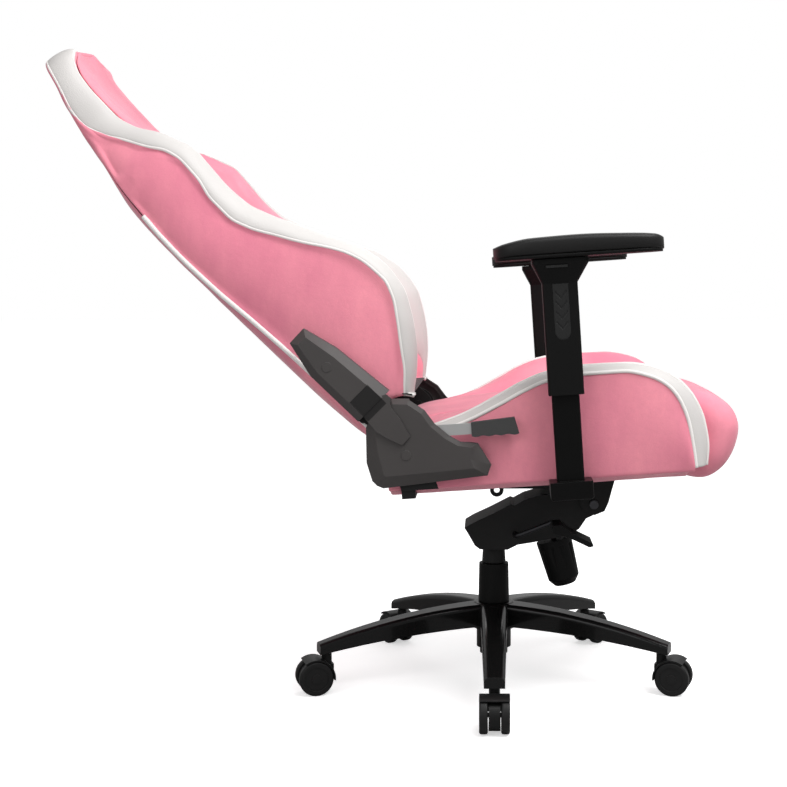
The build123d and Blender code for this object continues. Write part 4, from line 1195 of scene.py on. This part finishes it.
# ---------------------------------------------------------------- stage
FLOOR_REACH = 30.0
FLOOR_BOUNCE = (0.4, 0.4, 0.4)
FLOOR_GLOW = 0.52            # lifts the floor to the white of the sky, to the camera only
SKY_LIGHT = 0.5
# Place, target and size of each light, in metres.
KEY_LIGHT = ((1.0, -0.9, 2.6), (0, 0, 0.5), (1.8, 1.8))
FILL_LIGHT = ((-1.2, -2.4, 1.5), (-0.3, 0, 0.7), (1.6, 1.2))
RIM_LIGHT = ((0.2, 2.4, 2.2), (0, 0, 0.6), (2.5, 1.5))
CAMERA_PLACE = (-0.0099, -2.5553, 0.7046)
CAMERA_TURN = (math.radians(90) - 0.0752, 0, 0.0036)
CAMERA_SHIFT = (-0.114, 0.004)


def area_light(name, power, place, target, size):
    """Soft rectangular light that points at a target."""
    data = bpy.data.lights.new(name, "AREA")
    data.shape = "RECTANGLE"
    data.size, data.size_y = size
    data.energy = power
    light = bpy.data.objects.new(name, data)
    light.location = place
    light.rotation_euler = (Vector(target) - Vector(place)).to_track_quat("-Z", "Y").to_euler()
    bpy.context.scene.collection.objects.link(light)


def white_floor(colour):
    """Wide floor: bright to the camera, greyer in what it throws back under the chair."""
    tree, shader = shaded("floor_paper", 0.9, Specular_IOR_Level=0.1)
    place = tree.nodes.new("ShaderNodeTexCoord").outputs["Object"]
    tone = blend_colours(tree, noise_node(tree, 0.7, 2.0, 0.5, place), scaled(colour, 0.985), colour)
    seen = tree.nodes.new("ShaderNodeLightPath").outputs["Is Camera Ray"]
    tree.links.new(blend_colours(tree, seen, FLOOR_BOUNCE, tone), shader.inputs["Base Color"])
    tree.links.new(blend_colours(tree, seen, (0, 0, 0), (1, 1, 1)), shader.inputs["Emission Color"])
    shader.inputs["Emission Strength"].default_value = FLOOR_GLOW
    corners = [(x, y, 0.0) for y in (-FLOOR_REACH, FLOOR_REACH) for x in (-FLOOR_REACH, FLOOR_REACH)]
    new_piece("floor", corners, sheet_faces(2, 2), "floor_paper")


def studio_sky():
    """White all round for the camera, dimmer as a light."""
    world = bpy.data.worlds.new("studio")
    world.use_nodes = True
    tree = world.node_tree
    sky = tree.nodes["Background"]
    sky.inputs["Color"].default_value = (1, 1, 1, 1)
    seen = tree.nodes.new("ShaderNodeLightPath").outputs["Is Camera Ray"]
    tree.links.new(spread(tree, seen, SKY_LIGHT, 1.0), sky.inputs["Strength"])
    return world


class CHAIR_OT_stage(bpy.types.Operator):
    """Make the floor, the lights, the sky light and the camera"""
    bl_idname = "chair.stage"
    bl_label = "Stage"

    def execute(self, context):
        stage = context.scene.chair_stage
        white_floor(stage.floor)
        context.scene.world = studio_sky()
        area_light("key", stage.key_power, *KEY_LIGHT)
        area_light("fill", stage.fill_power, *FILL_LIGHT)
        area_light("rim", stage.fill_power, *RIM_LIGHT)
        data = bpy.data.cameras.new("camera")
        data.lens = stage.lens
        data.sensor_width = 36.0
        data.shift_x, data.shift_y = CAMERA_SHIFT
        camera = bpy.data.objects.new("camera", data)
        camera.location = CAMERA_PLACE
        camera.rotation_euler = CAMERA_TURN
        context.scene.collection.objects.link(camera)
        context.scene.camera = camera
        context.scene.view_settings.view_transform = "Standard"
        return {"FINISHED"}


class CHAIR_PT_panel(bpy.types.Panel):
    """Lists the chair's builders and their settings"""
    bl_idname = "CHAIR_PT_panel"
    bl_label = "Gaming chair"
    bl_space_type = "VIEW_3D"
    bl_region_type = "UI"
    bl_category = "Chair"

    def draw(self, context):
        for group in (context.scene.chair_fabric, context.scene.chair_stage):
            box = self.layout.box()
            for name in group.__annotations__:
                box.prop(group, name)
        for operator in OPERATORS:
            self.layout.operator(operator.bl_idname)


OPERATORS = (CHAIR_OT_finishes, CHAIR_OT_seat_cushion, CHAIR_OT_seat_sides, CHAIR_OT_back_panel,
             CHAIR_OT_back_sides, CHAIR_OT_back_shell, CHAIR_OT_armrest_pads, CHAIR_OT_stage)
CLASSES = (ChairFabric, ChairStage, *OPERATORS, CHAIR_PT_panel)


def register():
    for item in CLASSES:
        bpy.utils.register_class(item)
    bpy.types.Scene.chair_fabric = PointerProperty(type=ChairFabric)
    bpy.types.Scene.chair_stage = PointerProperty(type=ChairStage)


def unregister():
    del bpy.types.Scene.chair_stage
    del bpy.types.Scene.chair_fabric
    for item in reversed(CLASSES):
        bpy.utils.unregister_class(item)


def main():
    register()
    for operator in OPERATORS:
        group, name = operator.bl_idname.split(".")
        getattr(getattr(bpy.ops, group), name)()


if __name__ == "__main__":
    main()
